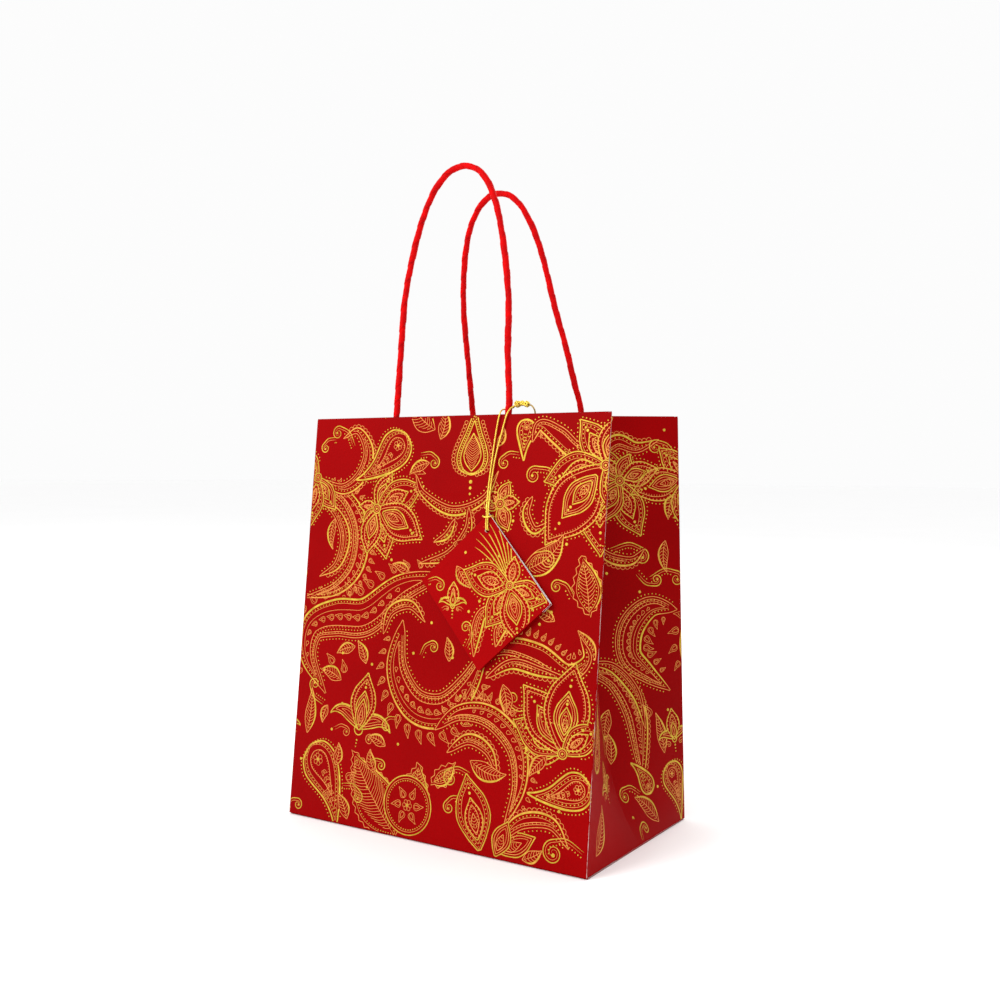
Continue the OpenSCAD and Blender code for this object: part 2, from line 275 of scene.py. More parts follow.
# How far the paper stands out of flat
PANEL_BOW, PANEL_WAVE, HEM_STEP = 0.62, 0.16, 0.1
GUSSET_BOW, GUSSET_WAVE = 0.7, 0.45
COLUMN_GAP, ROW_GAP = 2.0, 3.0


def outline(t):
    """The six corners of the bag at shares t of its height: front left, front right,
    right crease, back right, back left, left crease."""
    t = np.asarray(t, float)
    y_front, y_back = -BAG_D / 2 + FRONT_LEAN * t, BAG_D / 2 - BACK_LEAN * t
    z_front = PANEL_H * math.cos(FRONT_ANGLE) * t
    z_back = PANEL_H * math.cos(BACK_ANGLE) * t
    half = (y_back - y_front) / 2
    pushed = np.sqrt(np.maximum(0, (BAG_D / 2) ** 2 - half**2))
    pushed = pushed * (1 - np.exp(-PANEL_H * np.maximum(t, 0) / GUSSET_START))
    w = np.full_like(t, BAG_W / 2)
    y_mid, z_mid = (y_front + y_back) / 2, (z_front + z_back) / 2
    rows = [(-w, y_front, z_front), (w, y_front, z_front), (w - pushed, y_mid, z_mid),
            (w, y_back, z_back), (-w, y_back, z_back), (pushed - w, y_mid, z_mid)]
    return [np.stack(r, -1) for r in rows]


def wall_length(k, t):
    """Width of a wall at shares t of the height."""
    v = outline(t)
    return np.linalg.norm(v[(k + 1) % 6] - v[k], axis=-1)


def bowing(k, q, t):
    """How far the paper of a wall stands out of flat, at share q across and t up."""
    s = t * PANEL_H
    body = np.sin(math.pi * np.clip(q, 0, 1)) * np.sin(math.pi * np.clip(t, 0, 1)) ** 0.7
    if k in PANELS:
        wave = np.sin(5.1 * q + 2.3 * k + 0.6) * np.sin(6.3 * t + 1.1 * k + 0.4)
        step = HEM_STEP * smooth((s - (PANEL_H - HEM_H - 1.5)) / 2.5)
        step = step * smooth(q / 0.03) * smooth((1 - q) / 0.03)
        return PANEL_BOW * body + PANEL_WAVE * wave * body + step
    rise = smooth(t / 0.25)
    wave = np.sin(4.2 * q + 1.7 * k) * np.sin(9.0 * t + 2.1 * k)
    return body * rise * (GUSSET_BOW + GUSSET_WAVE * wave)


def rounded(corner, come, go, r, share):
    """Points of a bend of size r round a corner, between a way in and a way out."""
    share = share[..., None]
    return ((1 - share) ** 2 * (corner - come * r) + 2 * share * (1 - share) * corner
            + share**2 * (corner + go * r))


def wall_base(k, u, t):
    """Points of a wall's outer face at distance u from its first corner, with both of
    its corners rounded halfway."""
    u, t = np.broadcast_arrays(np.asarray(u, float), np.asarray(t, float))
    v = outline(t)
    a, b = v[k], v[(k + 1) % 6]
    before, after = v[k - 1], v[(k + 2) % 6]
    length = np.linalg.norm(b - a, axis=-1)
    along, into, leave = unit(b - a), unit(a - before), unit(after - b)
    rise = unit(outline(t + 1e-3)[k] - a)
    facing = unit(np.cross(along, rise))
    p = a + along * u[..., None] + facing * bowing(k, u / length, t)[..., None]
    r_a = CREASE_R if k in ENDING else CORNER_R
    r_b = CREASE_R if k in STARTING else CORNER_R
    near_a = rounded(a, into, along, r_a, 0.5 + 0.5 * u / r_a)
    p = np.where((u < r_a)[..., None], near_a, p)
    near_b = rounded(b, along, leave, r_b, 0.5 - 0.5 * (length - u) / r_b)
    return np.where((length - u < r_b)[..., None], near_b, p)


def wall_point(k, u, t, out=0.0):
    """The same, moved out along the wall's normal."""
    e = 0.02
    p = wall_base(k, u, t)
    across = wall_base(k, u + e, t) - wall_base(k, u - e, t)
    rise = wall_base(k, u, t + e / PANEL_H) - wall_base(k, u, t - e / PANEL_H)
    return p + unit(np.cross(across, rise)) * np.asarray(out)[..., None]


def sheet_point(k, u, s, out=0.0):
    """A point of the printed side of the sheet on wall k, where s runs up the outside,
    over the fold at the mouth and down the inside."""
    u, s, out = np.broadcast_arrays(
        np.asarray(u, float), np.asarray(s, float), np.asarray(out, float))
    r = FOLD_R if k in PANELS else GUSSET_FOLD_R
    turn = PANEL_H - r
    over = np.clip((s - turn) / r, 0, math.pi)
    past = np.maximum(s - turn - math.pi * r, 0)
    depth = -r + (r + out) * np.cos(over)
    height = np.minimum(s, turn) + (r + out) * np.sin(over) - past
    return wall_point(k, u, height / PANEL_H, depth)


def columns(k):
    """Shares across a wall, closer together at its rounded corners."""
    n = max(4, int(FULL[k] / COLUMN_GAP))
    r = 1.0 / FULL[k]
    ends = np.array([0, 0.2, 0.4, 0.6, 0.8, 1.0, 1.6]) * r
    middle = np.linspace(2.6 * r, 1 - 2.6 * r, n)
    return np.r_[ends, middle, 1 - ends[::-1]]


def from_corner(k, u, length):
    """Distance from the nearest upright corner of the bag, on a wall of a length."""
    if k in STARTING:
        return u
    return length - u if k in ENDING else np.minimum(u, length - u)


# ---------------------------------------------------------------- materials
class Shader:
    """A material and a short way to build its nodes."""

    def __init__(self, name):
        self.material = bpy.data.materials.new(name)
        self.material.use_nodes = True
        self.tree = self.material.node_tree
        self.tree.nodes.clear()
        self.surface = self.node("ShaderNodeBsdfPrincipled")
        self.node("ShaderNodeOutputMaterial", {0: self.surface.outputs[0]})
        self.where = self.node("ShaderNodeTexCoord").outputs["Object"]

    def put(self, socket, value):
        """Links an output to an input, or sets the input to a value."""
        if isinstance(value, bpy.types.NodeSocket):
            self.tree.links.new(value, socket)
        else:
            socket.default_value = (*value, 1) if socket.type == "RGBA" else value

    def node(self, kind, inputs=None, **settings):
        """A new node with its settings, and with its inputs by name or number."""
        made = self.tree.nodes.new(kind)
        for key, value in settings.items():
            setattr(made, key, value)
        for key, value in (inputs or {}).items():
            self.put(made.inputs[key], value)
        return made

    def set(self, **values):
        """Inputs of the surface, by name with _ for each space."""
        for key, value in values.items():
            self.put(self.surface.inputs[key.replace("_", " ")], value)

    def stretch(self, scale):
        inputs = {"Vector": self.where, "Scale": scale}
        return self.node("ShaderNodeMapping", inputs).outputs[0]

    def noise(self, scale, detail=4.0, rough=0.55, vector=None):
        inputs = {"Vector": vector or self.where, "Scale": scale}
        inputs.update({"Detail": detail, "Roughness": rough})
        return self.node("ShaderNodeTexNoise", inputs).outputs[0]

    def ramp(self, value, *stops):
        """A blend between two colours, each given with the value where it is reached."""
        made = self.node("ShaderNodeValToRGB", {0: value})
        for element, (at, colour) in zip(made.color_ramp.elements, stops):
            element.position = at
            element.color = (*colour, 1)
        return made.outputs[0]

    def span(self, value, low, high, to_low=0.0, to_high=1.0):
        inputs = dict(enumerate((value, low, high, to_low, to_high)))
        return self.node("ShaderNodeMapRange", inputs).outputs[0]

    def math(self, how, a, b):
        return self.node("ShaderNodeMath", {0: a, 1: b}, operation=how).outputs[0]

    def mix(self, share, a, b):
        """Colour a where share is 0 and b where it is 1."""
        inputs = {0: share, 6: a, 7: b}
        return self.node("ShaderNodeMix", inputs, data_type="RGBA").outputs[2]

    def number(self, name):
        """A mesh's own number at each point."""
        return self.node("ShaderNodeAttribute", attribute_name=name).outputs["Fac"]

    def bump(self, height, strength, distance, under=None):
        inputs = {"Height": height, "Strength": strength, "Distance": distance}
        if under is not None:
            inputs["Normal"] = under
        return self.node("ShaderNodeBump", inputs).outputs[0]


WHITE_FIBRE = (0.82, 0.76, 0.72)
FRAYED_RED = (0.62, 0.06, 0.04)


def darker(colour, share):
    return tuple(c * share for c in colour)


def printed_red(name, deep, bright, wear=True):
    """Coated red paper: a faint mottle, a soft sheen, and white fibre at its creases."""
    m = Shader(name)
    cloud = m.noise(14.0, 3.0)
    colour = m.ramp(cloud, (0.3, deep), (0.7, bright))
    speck = m.noise(900.0, 2.0, 0.6)
    colour = m.mix(m.span(speck, 0.35, 0.75, 0.0, 0.16), colour, darker(deep, 0.6))
    if wear:
        worn = m.noise(420.0, 5.0, 0.7, m.stretch((1.0, 1.0, 0.22)))
        reach = m.span(worn, 0.42, 0.68, 0.0, 0.42)
        mask = m.math("LESS_THAN", m.number("crease"), reach)
        colour = m.mix(m.math("MULTIPLY", mask, 0.5), colour, WHITE_FIBRE)
    grain = m.noise(1500.0, 3.0, 0.6)
    ripple = m.noise(60.0, 2.0, 0.5)
    normal = m.bump(ripple, 0.2, 0.0006, m.bump(grain, 0.16, 0.00012))
    m.set(Base_Color=colour, Roughness=m.span(cloud, 0.3, 0.7, 0.4, 0.52), Normal=normal)
    m.set(Specular_IOR_Level=0.3, IOR=1.12)
    return m.material


def plain_paper(name, low, high, grain_scale=700.0):
    """Uncoated paper or board with fibres and small flecks."""
    m = Shader(name)
    cloud = m.noise(35.0, 4.0)
    fibre = m.noise(grain_scale, 5.0, 0.65, m.stretch((1.0, 0.35, 1.6)))
    colour = m.ramp(cloud, (0.3, low), (0.7, high))
    fleck = m.noise(1300.0, 1.0, 0.4)
    colour = m.mix(m.span(fleck, 0.66, 0.74, 0.0, 0.45), colour, darker(low, 0.55))
    m.set(Base_Color=colour, Roughness=0.85, Normal=m.bump(fibre, 0.35, 0.00025))
    m.set(Specular_IOR_Level=0.2)
    return m.material


def gold_ink(name, low, high, metal):
    """Printed metallic gold, broken by the paper's grain."""
    m = Shader(name)
    patch = m.noise(260.0, 3.0, 0.6)
    fine = m.noise(2600.0, 2.0, 0.6)
    colour = m.ramp(patch, (0.32, low), (0.68, high))
    colour = m.mix(m.span(fine, 0.55, 0.75, 0.0, 0.45), colour, darker(low, 0.55))
    m.set(Base_Color=colour, Roughness=m.span(patch, 0.3, 0.7, 0.36, 0.55))
    m.set(Normal=m.bump(fine, 0.25, 0.00008), Metallic=metal, Specular_IOR_Level=0.1)
    return m.material


def twisted_paper(name, deep, bright):
    """Paper rope with lengthwise creases and frayed flecks, its colour darkened in the groove of
    the twist as painted shade.
    """
    m = Shader(name)
    tone = m.noise(220.0, 4.0, 0.6)
    colour = m.mix(m.span(tone, 0.3, 0.7), deep, bright)
    # Painted shade: the colour goes towards a dark red in the groove of the twist.
    groove_shade = m.span(m.number("groove_shade"), 0.45, 1.0, 0.0, 0.5)
    colour = m.mix(groove_shade, colour, darker(deep, 0.35))
    fray = m.noise(1600.0, 2.0, 0.5)
    colour = m.mix(m.span(fray, 0.68, 0.78, 0.0, 0.4), colour, FRAYED_RED)
    folds = m.math("ADD", m.number("crease"), m.math("MULTIPLY", m.noise(1100.0, 3.0), 0.6))
    m.set(Base_Color=colour, Roughness=m.span(tone, 0.3, 0.7, 0.5, 0.68))
    m.set(Normal=m.bump(folds, 0.45, 0.0002), Specular_IOR_Level=0.05)
    return m.material


def gold_thread(name, low, high, metal):
    """Metallised thread wound round an elastic core, with painted shade in the hollows between its
    windings.
    """
    m = Shader(name)
    tone = m.noise(700.0, 3.0, 0.6)
    colour = m.mix(m.span(tone, 0.35, 0.65), low, high)
    # Painted shade: the colour is darkened in the hollows between the windings.
    groove_shade = m.span(m.number("groove_shade"), 0.45, 1.0, 0.0, 0.8)
    colour = m.mix(groove_shade, colour, darker(low, 0.35))
    m.set(Base_Color=colour, Roughness=m.span(tone, 0.3, 0.7, 0.22, 0.4))
    m.set(Normal=m.bump(tone, 0.3, 0.0001), Metallic=metal)
    return m.material


RED = printed_red("printed_paper_red", (0.225, 0.0, 0.0004), (0.27, 0.0, 0.0006))
HEM_RED = printed_red("hem_red", (0.225, 0.0, 0.0004), (0.27, 0.0, 0.0006), False)
TAG_RED = printed_red("tag_card_red", (0.27, 0.0, 0.0006), (0.32, 0.0, 0.0008), False)
WHITE = plain_paper("white_paper", (0.80, 0.79, 0.76), (0.88, 0.87, 0.84))
CUT = plain_paper("cut_edge", (0.78, 0.68, 0.66), (0.92, 0.86, 0.84), 1800.0)
CARD_EDGE = plain_paper("card_edge", (0.86, 0.82, 0.80), (0.95, 0.92, 0.90), 1800.0)
WHITE_CARD = plain_paper("white_card", (0.72, 0.70, 0.66), (0.82, 0.80, 0.76))
GREY_BOARD = plain_paper("grey_board", (0.30, 0.285, 0.255), (0.42, 0.40, 0.36), 400.0)
GOLD = gold_ink("gold_ink", (0.40, 0.25, 0.02), (0.62, 0.43, 0.05), 0.4)
FINE_GOLD = gold_ink("gold_ink_fine", (0.56, 0.20, 0.04), (0.72, 0.30, 0.07), 0.2)
HANDLE = twisted_paper("handle_paper", (0.40, 0.0, 0.001), (0.66, 0.0005, 0.001))
THREAD = gold_thread("gold_cord", (0.82, 0.52, 0.05), (1.0, 0.78, 0.12), 0.75)
# Painted shade: a darker copy of the cord's gold, for the end that hangs at the mouth behind the
# front panel.
SHADED_THREAD = gold_thread("gold_cord_shaded", (0.20, 0.12, 0.02), (0.45, 0.28, 0.05), 0.5)


# ---------------------------------------------------------------- walls, hems and linings
def wall_sheet(name, k, u, s, materials, thick=PAPER, out=0.0):
    """A sheet on wall k between grids of distances across and up it. Its crease is the
    distance from an upright corner, taken as less near the base."""
    length = wall_length(k, np.minimum(s, PANEL_H) / PANEL_H)
    crease = from_corner(k, u, length) * (0.3 + 0.7 * smooth((s - 1.0) / 9.0))
    outer, inner = sheet_point(k, u, s, out), sheet_point(k, u, s, out - thick)
    return sheet_piece(name, outer, inner, materials, crease)


def strip(name, k, margin, heights, materials, thick=PAPER, out=0.0):
    """A sheet on wall k between given heights, a margin in from both of its corners."""
    length = wall_length(k, np.minimum(heights, PANEL_H) / PANEL_H)[:, None]
    u = margin + (length - margin - margin) * columns(k)
    return wall_sheet(name, k, u, heights[:, None] + 0 * u, materials, thick, out)


def make_wall(k, name):
    """One wall of the bag. Away from its corners it stops where its hem folds over."""
    fold = FOLD_R if k in PANELS else GUSSET_FOLD_R
    q = columns(k)
    rows = np.r_[WALL_FROM, 2, 4, np.arange(7, 169, ROW_GAP), np.arange(169, 175, 0.7),
                 np.arange(176, 208, ROW_GAP), 208.5, 210.0, 211.0, PANEL_H]
    s = np.repeat(rows[:, None], len(q), 1)
    u = wall_length(k, s / PANEL_H) * q
    top = PANEL_H - fold * smooth((from_corner(k, u, FULL[k]) - 1.4) / 0.8)
    return wall_sheet(name, k, u, np.minimum(s, top), [RED, WHITE, RED])


def hem_heights(fold):
    """Distances up the sheet from where the fold at the mouth starts to the hem's end."""
    turn = PANEL_H - fold
    bend = turn + fold * np.linspace(0, math.pi, 9)
    leg = np.linspace(bend[-1] + 1, bend[-1] + HEM_H - fold, 18)
    return np.r_[bend, leg]


def make_hem(k, name):
    return strip(name, k, 2.0, hem_heights(FOLD_R), [HEM_RED, WHITE, CUT])


def make_gusset_hem(first, name):
    """One strip over both halves of a gusset, from corner to corner across the crease."""
    corner = 2.6
    outer, inner = [], []
    for k in (first, first + 1):
        low, high = (corner, 0.0) if k in STARTING else (0.0, corner)
        across = low + (FULL[k] - low - high) * columns(k)
        if k in ENDING:
            across = across[1:]
        u, s = np.meshgrid(across, hem_heights(GUSSET_FOLD_R))
        outer.append(sheet_point(k, u, s))
        inner.append(sheet_point(k, u, s, -PAPER))
    outer, inner = np.concatenate(outer, 1), np.concatenate(inner, 1)
    return sheet_piece(name, outer, inner, [HEM_RED, WHITE, CUT])


def make_stiffener(k, name):
    rows = np.linspace(PANEL_H - HEM_H + 2, PANEL_H - 0.8, 16)
    return strip(name, k, 2.2, rows, [WHITE_CARD] * 3, STIFFENER - 0.06, -PAPER - 0.03)


def make_patch(k, middle, legs, name):
    """The paper glued over a handle's two ends, draped over them."""
    x = np.linspace(-PATCH_W / 2, PATCH_W / 2, 120) + middle
    x, s = np.meshgrid(x, np.linspace(PANEL_H - 4 - PATCH_H, PANEL_H - 4, 26))
    away = np.min([np.abs(x - leg) for leg in legs], 0)
    raised = smooth(1 - (away - 1.2) / 3.2)
    raised = raised * smooth((s - (PANEL_H - GLUED_LEN - 1.5)) / 3.5)
    ripple = 0.12 * np.sin(x * 0.9) * np.sin(s * 0.35) * (1 - raised)
    depth = 2 * FOLD_R + 0.38 + HANDLE_D * raised + ripple
    u = x + BAG_W / 2 if k == 0 else BAG_W / 2 - x
    order = slice(None, None, -1 if k == 0 else 1)
    near, far = (wall_point(k, u, s / PANEL_H, -depth + rise)[:, order] for rise in (-0.12, 0.12))
    return sheet_piece(name, near, far, [WHITE] * 3)


def make_seam():
    """The strip that closes the sheet, inside the back left corner."""
    rows = np.linspace(4, PANEL_H - HEM_H - 0.2, 50)
    u, s = np.meshgrid(np.linspace(BAG_W - 2 - SEAM_W, BAG_W - 2.2, 10), rows)
    u[:, 0] += 0.5 * np.sin(rows * 0.21)
    outer = wall_point(3, u, s / PANEL_H, -2 * PAPER - 0.02)
    inner = wall_point(3, u, s / PANEL_H, -PAPER - 0.03)
    return sheet_piece("side_seam_strip", outer[:, ::-1], inner[:, ::-1], [WHITE, WHITE, CUT])


def make_flap(name, way, reach, z):
    """A flap of the bottom that comes from the front (way -1) or the back panel (way 1)
    and lies flat, printed side down."""
    edge, start = BAG_D / 2 - 0.25, WALL_FROM
    q = np.linspace(0, 1, 7)
    bend_y = edge * (1 - q) ** 2 + 2 * (edge - 1.0) * q * (1 - q) + (edge - 1.3) * q**2
    bend_z = start * (1 - q) ** 2 + 2 * start * q * (1 - q) + z * q**2
    y = np.r_[bend_y, np.linspace(edge - 2.5, edge - reach * BAG_D, 20)]
    h = np.r_[bend_z, np.full(20, z)]
    along = unit(np.stack([np.gradient(y), np.gradient(h)], -1))
    inner_y, inner_h = y + along[:, 1] * PAPER * 0.95, h - along[:, 0] * PAPER * 0.95
    x = np.linspace(-BAG_W / 2 + 0.25, BAG_W / 2 - 0.25, 40)[::way]
    narrowing = 1 - 0.4 * np.linspace(0, 1, len(y)) ** 2 / 90

    def grid(y, h):
        return np.stack([x * narrowing[:, None], way * y[:, None] + 0 * x, h[:, None] + 0 * x], -1)

    return sheet_piece(name, grid(y, h), grid(inner_y, inner_h), [HEM_RED, WHITE, HEM_RED])


def make_tucks():
    """The bottoms of the two gussets, folded in under the board."""
    base_x, base_y, tip_x, tip_y = BAG_W / 2 - 0.6, BAG_D / 2 - 0.7, 40, 8
    low = 2 * PAPER + 0.02
    parts = []
    for side in (1, -1):
        q, r = np.meshgrid(np.linspace(-side, side, 24), np.linspace(0, 1, 12))
        x = side * (base_x * (1 - r) + tip_x * r)
        y = q * (base_y * (1 - r) + tip_y * r)
        top, under = (np.stack([x, y, 0 * x + z], -1) for z in (low + PAPER - 0.04, low))
        parts.append(sheet_piece(f"tuck{side}", top, under, [WHITE, HEM_RED, HEM_RED]))
    return join(parts, "base_side_tucks_paper")


def make_board():
    """The loose board in the base: cut corners, a slight twist."""
    x, y = BAG_W / 2 - BOARD_GAP - 1.5, BAG_D / 2 - BOARD_GAP
    q, r = np.meshgrid(np.linspace(-1, 1, 60), np.linspace(-1, 1, 40))
    lift = 0.3 * (q * r) ** 2 + 0.12 * np.sin(3 * q + r) ** 2
    corner = np.maximum(0, np.abs(q) + np.abs(r) - 1.93) * 9
    px, py = q * x - np.sign(q) * corner, r * y - np.sign(r) * corner
    low = 3 * PAPER + 0.05
    top, under = (np.stack([px, py, low + t + lift], -1) for t in (BOARD_T, 0.0))
    return sheet_piece("base_board_card", top, under, [GREY_BOARD] * 3)


sheets = [(make_wall(k, name + "_sheet"), name, "printed_paper") for k, name in enumerate(WALLS)]
sheets += [
    (make_hem(0, "front_hem_fold"), "front_hem", "printed_paper"),
    (make_hem(3, "back_hem_fold"), "back_hem", "printed_paper"),
    (make_gusset_hem(1, "right_gusset_hem_fold"), "right_gusset_hem", "printed_paper"),
    (make_gusset_hem(4, "left_gusset_hem_fold"), "left_gusset_hem", "printed_paper"),
    (make_stiffener(0, "front_stiffener_card"), "front_stiffener", "white_card"),
    (make_stiffener(3, "back_stiffener_card"), "back_stiffener", "white_card"),
    (make_patch(0, -2.95, (-37.5, 31.6), "front_patch_paper"), "front_patch", "white_paper"),
    (make_patch(3, -0.5, (-35.6, 34.6), "back_patch_paper"), "back_patch", "white_paper"),
    (make_seam(), "side_seam", "white_paper"),
    (make_flap("base_outer_flap_paper", -1, 0.78, 0.01), "base_outer_flap", "printed_paper"),
    (make_flap("base_inner_flap_paper", 1, 0.72, PAPER + 0.01), "base_inner_flap", "printed_paper"),
    (make_tucks(), "base_side_tucks", "printed_paper"),
    (make_board(), "base_board", "grey_board"),
]
for obj, node, slot_name in sheets:
    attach(obj, "bag")
    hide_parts(node)


# ---------------------------------------------------------------- handles
def tube(name, line, radius, material, sides, values):
    """A round solid along a line of points. radius and each of values are functions of
    the length gone and the angle round."""
    n = len(line)
    along = unit(np.gradient(line, axis=0))
    v = unit(np.cross(along[0], [0.1, 0.3, 1.0]))
    turned = []
    for a in along:
        v = unit(v - a * np.dot(a, v))
        turned.append(v)
    side = np.array(turned)
    up = np.cross(along, side)
    gone = gone_along(line)[:, None]
    angle = np.linspace(0, 2 * math.pi, sides, endpoint=False)[None, :]
    r = radius(gone, angle)[..., None]
    c, s = np.cos(angle)[..., None], np.sin(angle)[..., None]
    rings = line[:, None] + r * (side[:, None] * c + up[:, None] * s)
    verts = np.vstack([rings.reshape(-1, 3), line[:1], line[-1:]])
    start, end, last = n * sides, n * sides + 1, (n - 1) * sides
    round_it = [(k, (k + 1) % sides) for k in range(sides)]
    faces = []
    for i in range(0, last, sides):
        faces += [(i + k, i + m, i + sides + m, i + sides + k) for k, m in round_it]
    for k, m in round_it:
        faces += [(start, m, k), (end, last + k, last + m)]
    numbers = {key: np.r_[rule(gone, angle).reshape(-1), 0.5, 0.5] for key, rule in values.items()}
    return piece(name, verts, faces, [material], values=numbers)


TWIST_PITCH = 10.5
HANDLE_SIDES, HANDLE_STEP = 26, 0.5


def twist_share(gone, angle):
    """How far round the rolled strip a point is, from 0 to 1, with an uneven pitch."""
    slip = 0.16 * np.sin(gone / 14.0) + 0.1 * np.sin(gone / 5.3 + 2.0)
    return (angle / (2 * math.pi) - gone / TWIST_PITCH + slip) % 1.0


def twist_radius(gone, angle):
    """A rolled and twisted strip: it thickens round the turn and drops at its edge."""
    q = twist_share(gone, angle)
    drop = smooth(q / 0.07)
    body = 0.93 + 0.17 * q
    body = body * drop + (1 - drop) * (1.1 - 0.085 * smooth(q / 0.035))
    pinch = 0.04 * np.sin(gone / 6.1 + 1.0) + 0.026 * np.sin(gone / 2.7 + 2 * angle)
    folds = 0.02 * np.sin(2 * math.pi * 4 * q + 0.5 * np.sin(gone / 5.0))
    return HANDLE_D / 2 * (body + pinch + folds)


# Where the groove of the twist lies, for the painted shade in it.
def twist_groove_shade(gone, angle):
    q = twist_share(gone, angle)
    return np.exp(-(((q - 0.06) / 0.05) ** 2))


def twist_crease(gone, angle):
    q = twist_share(gone, angle)
    coarse = np.sin(2 * math.pi * 9 * q + 2 * np.sin(gone / 8.0))
    return 0.5 + 0.25 * (coarse + np.sin(2 * math.pi * 14 * q + gone / 3))


def handle_line(route, place, tip):
    """The whole handle's middle line: glued end, bend, bow, bend, glued end."""
    top = PANEL_H + BEND_H
    lift = math.radians(tip)
    heights = [PANEL_H - GLUED_LEN, PANEL_H - 14, PANEL_H - 3, PANEL_H + 1.5]
    points = [(route[0][0], -HANDLE_IN, s) for s in heights]
    for x, h in route:
        reach = h - BEND_H
        points.append((x, -HANDLE_IN - reach * math.sin(lift), top + reach * math.cos(lift)))
    points += [(route[-1][0], -HANDLE_IN, s) for s in heights[::-1]]
    return place(spline(points, HANDLE_STEP))


def make_handle(name, route, place, tip):
    line = handle_line(route, place, tip)
    total = gone_along(line)[-1]

    def radius(gone, angle):
        """The glued ends are pressed thinner."""
        inside = np.minimum(gone, total - gone)
        pressed = 0.45 + 0.35 * smooth(inside / 5) + 0.2 * smooth((inside - GLUED_LEN + 7) / 6)
        return twist_radius(gone, angle) * pressed

    values = {"groove_shade": twist_groove_shade, "crease": twist_crease}
    return tube(name, line, radius, HANDLE, HANDLE_SIDES, values)


front_handle = make_handle("front_handle_rope", FRONT_ROUTE, front_place, 0.0)
back_handle = make_handle("back_handle_rope", BACK_ROUTE, back_place,
                          BACK_HANDLE_TIP - math.degrees(BACK_ANGLE))
for obj, body, place in (
    (front_handle, "front_handle", front_place),
    (back_handle, "back_handle", back_place),
):
    bend_from = place((0, -HANDLE_IN, PANEL_H + 1.0)) * MM
    bend_to = place((0, -HANDLE_IN, PANEL_H + 7.0)) * MM
    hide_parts(body, body + "_ends", body + "_bends")
    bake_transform(obj)


# ---------------------------------------------------------------- cord, knot and hitch
THREAD_SIDES, THREAD_STEP, THREAD_WIND = 10, 0.16, 5.2


def wound_pattern(gone, angle):
    """Thread wound over an elastic core in two crossing layers, high where they cross."""
    return np.sin(angle * 2 - gone * THREAD_WIND) * np.sin(angle * 2 + gone * THREAD_WIND)


def wound_radius(gone, angle):
    return CORD_D / 2 * (0.95 + 0.07 * wound_pattern(gone, angle))


# Where the windings leave hollows, for the painted shade in them.
def wound_groove_shade(gone, angle):
    return 0.5 - 0.5 * wound_pattern(gone, angle)


def wound(name, line, material=THREAD):
    """A length of the cord along points of the front panel's own frame."""
    return tube(name, front_place(line), wound_radius, material, THREAD_SIDES,
                {"groove_shade": wound_groove_shade})


cord_points = (
    LOOP_BEHIND[::-1] + LEFT_STRAND[1:] + HITCH[1:] + RIGHT_STRAND[-2::-1] + LOOP_IN_FRONT[1:]
)
cord_path = spline(cord_points, THREAD_STEP)
cord_line = front_place(cord_path)
cord = wound("tag_cord_thread", cord_path)
cord_length = float(gone_along(cord_line)[-1]) * MM


def make_knot():
    """Lumps of tight windings of the cord, with a short double strand between two of them."""
    parts = []
    q = np.linspace(0, 1, 150)
    for number, (x, out, s, r) in enumerate(KNOT_LUMPS):
        wrap = r - CORD_D / 2
        along = wrap * 0.82 * np.cos(math.pi * q)
        for turn, lean in enumerate((0.35 + 0.8 * number, -0.75 + 0.5 * number)):
            swing = 2 * math.pi * (2.6 - 0.7 * turn) * q + number + 2 * turn
            ring = np.sqrt(np.maximum(wrap**2 - along**2, 0.01)) * (0.98 - 0.1 * turn)
            rise = ring * np.sin(swing)
            c, n = math.cos(lean), math.sin(lean)
            line = [x + along * c - rise * n, out + ring * np.cos(swing), s + along * n + rise * c]
            parts.append(wound(f"wrap{number}{turn}", np.stack(line, -1)))
    (x0, o0, s0, _), (x1, o1, s1, _) = KNOT_LUMPS[:2]
    for k in (-1, 1):
        line = [(x0, o0, s0 + 0.3 * k), (x0 + 2, o0 + 0.45 * k, s0 + 0.4 * k),
                (x1 - 2, o1 + 0.45 * k, s1 - 0.3 * k), (x1, o1, s1 + 0.3 * k)]
        parts.append(wound(f"bridge{k}", spline(line, THREAD_STEP)))
    return join(parts, "tag_cord_knot_wraps")


knot = make_knot()
# The cord's end takes the darker copy of the gold as painted shade.
tail = wound("tag_cord_end", spline(LOOP_TAIL, THREAD_STEP), SHADED_THREAD)
for obj in (knot, tail):
    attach(obj, "tag_cord")
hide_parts("tag_cord_knot")
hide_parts("tag_cord_loop", "tag_cord_strands", "tag_hitch")
tuple(front_place((26.65, 2.9, 167)) * MM)
tuple(front_place((26.65, 2.9, 162)) * MM)
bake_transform(cord)
tuple(front_place((31.6, -2.8, 216)) * MM)


# ---------------------------------------------------------------- tag
FOLD_CENTRE = CARD + LEAF_GAP / 2
# How far the cover springs open at its free edge
TAG_RISE = 1.15
# Past this distance across, the inside of the tag is red as painted shade, where its lower edge
# would show white
SHADE_STRIP_FROM = TAG_ACROSS - 0.9


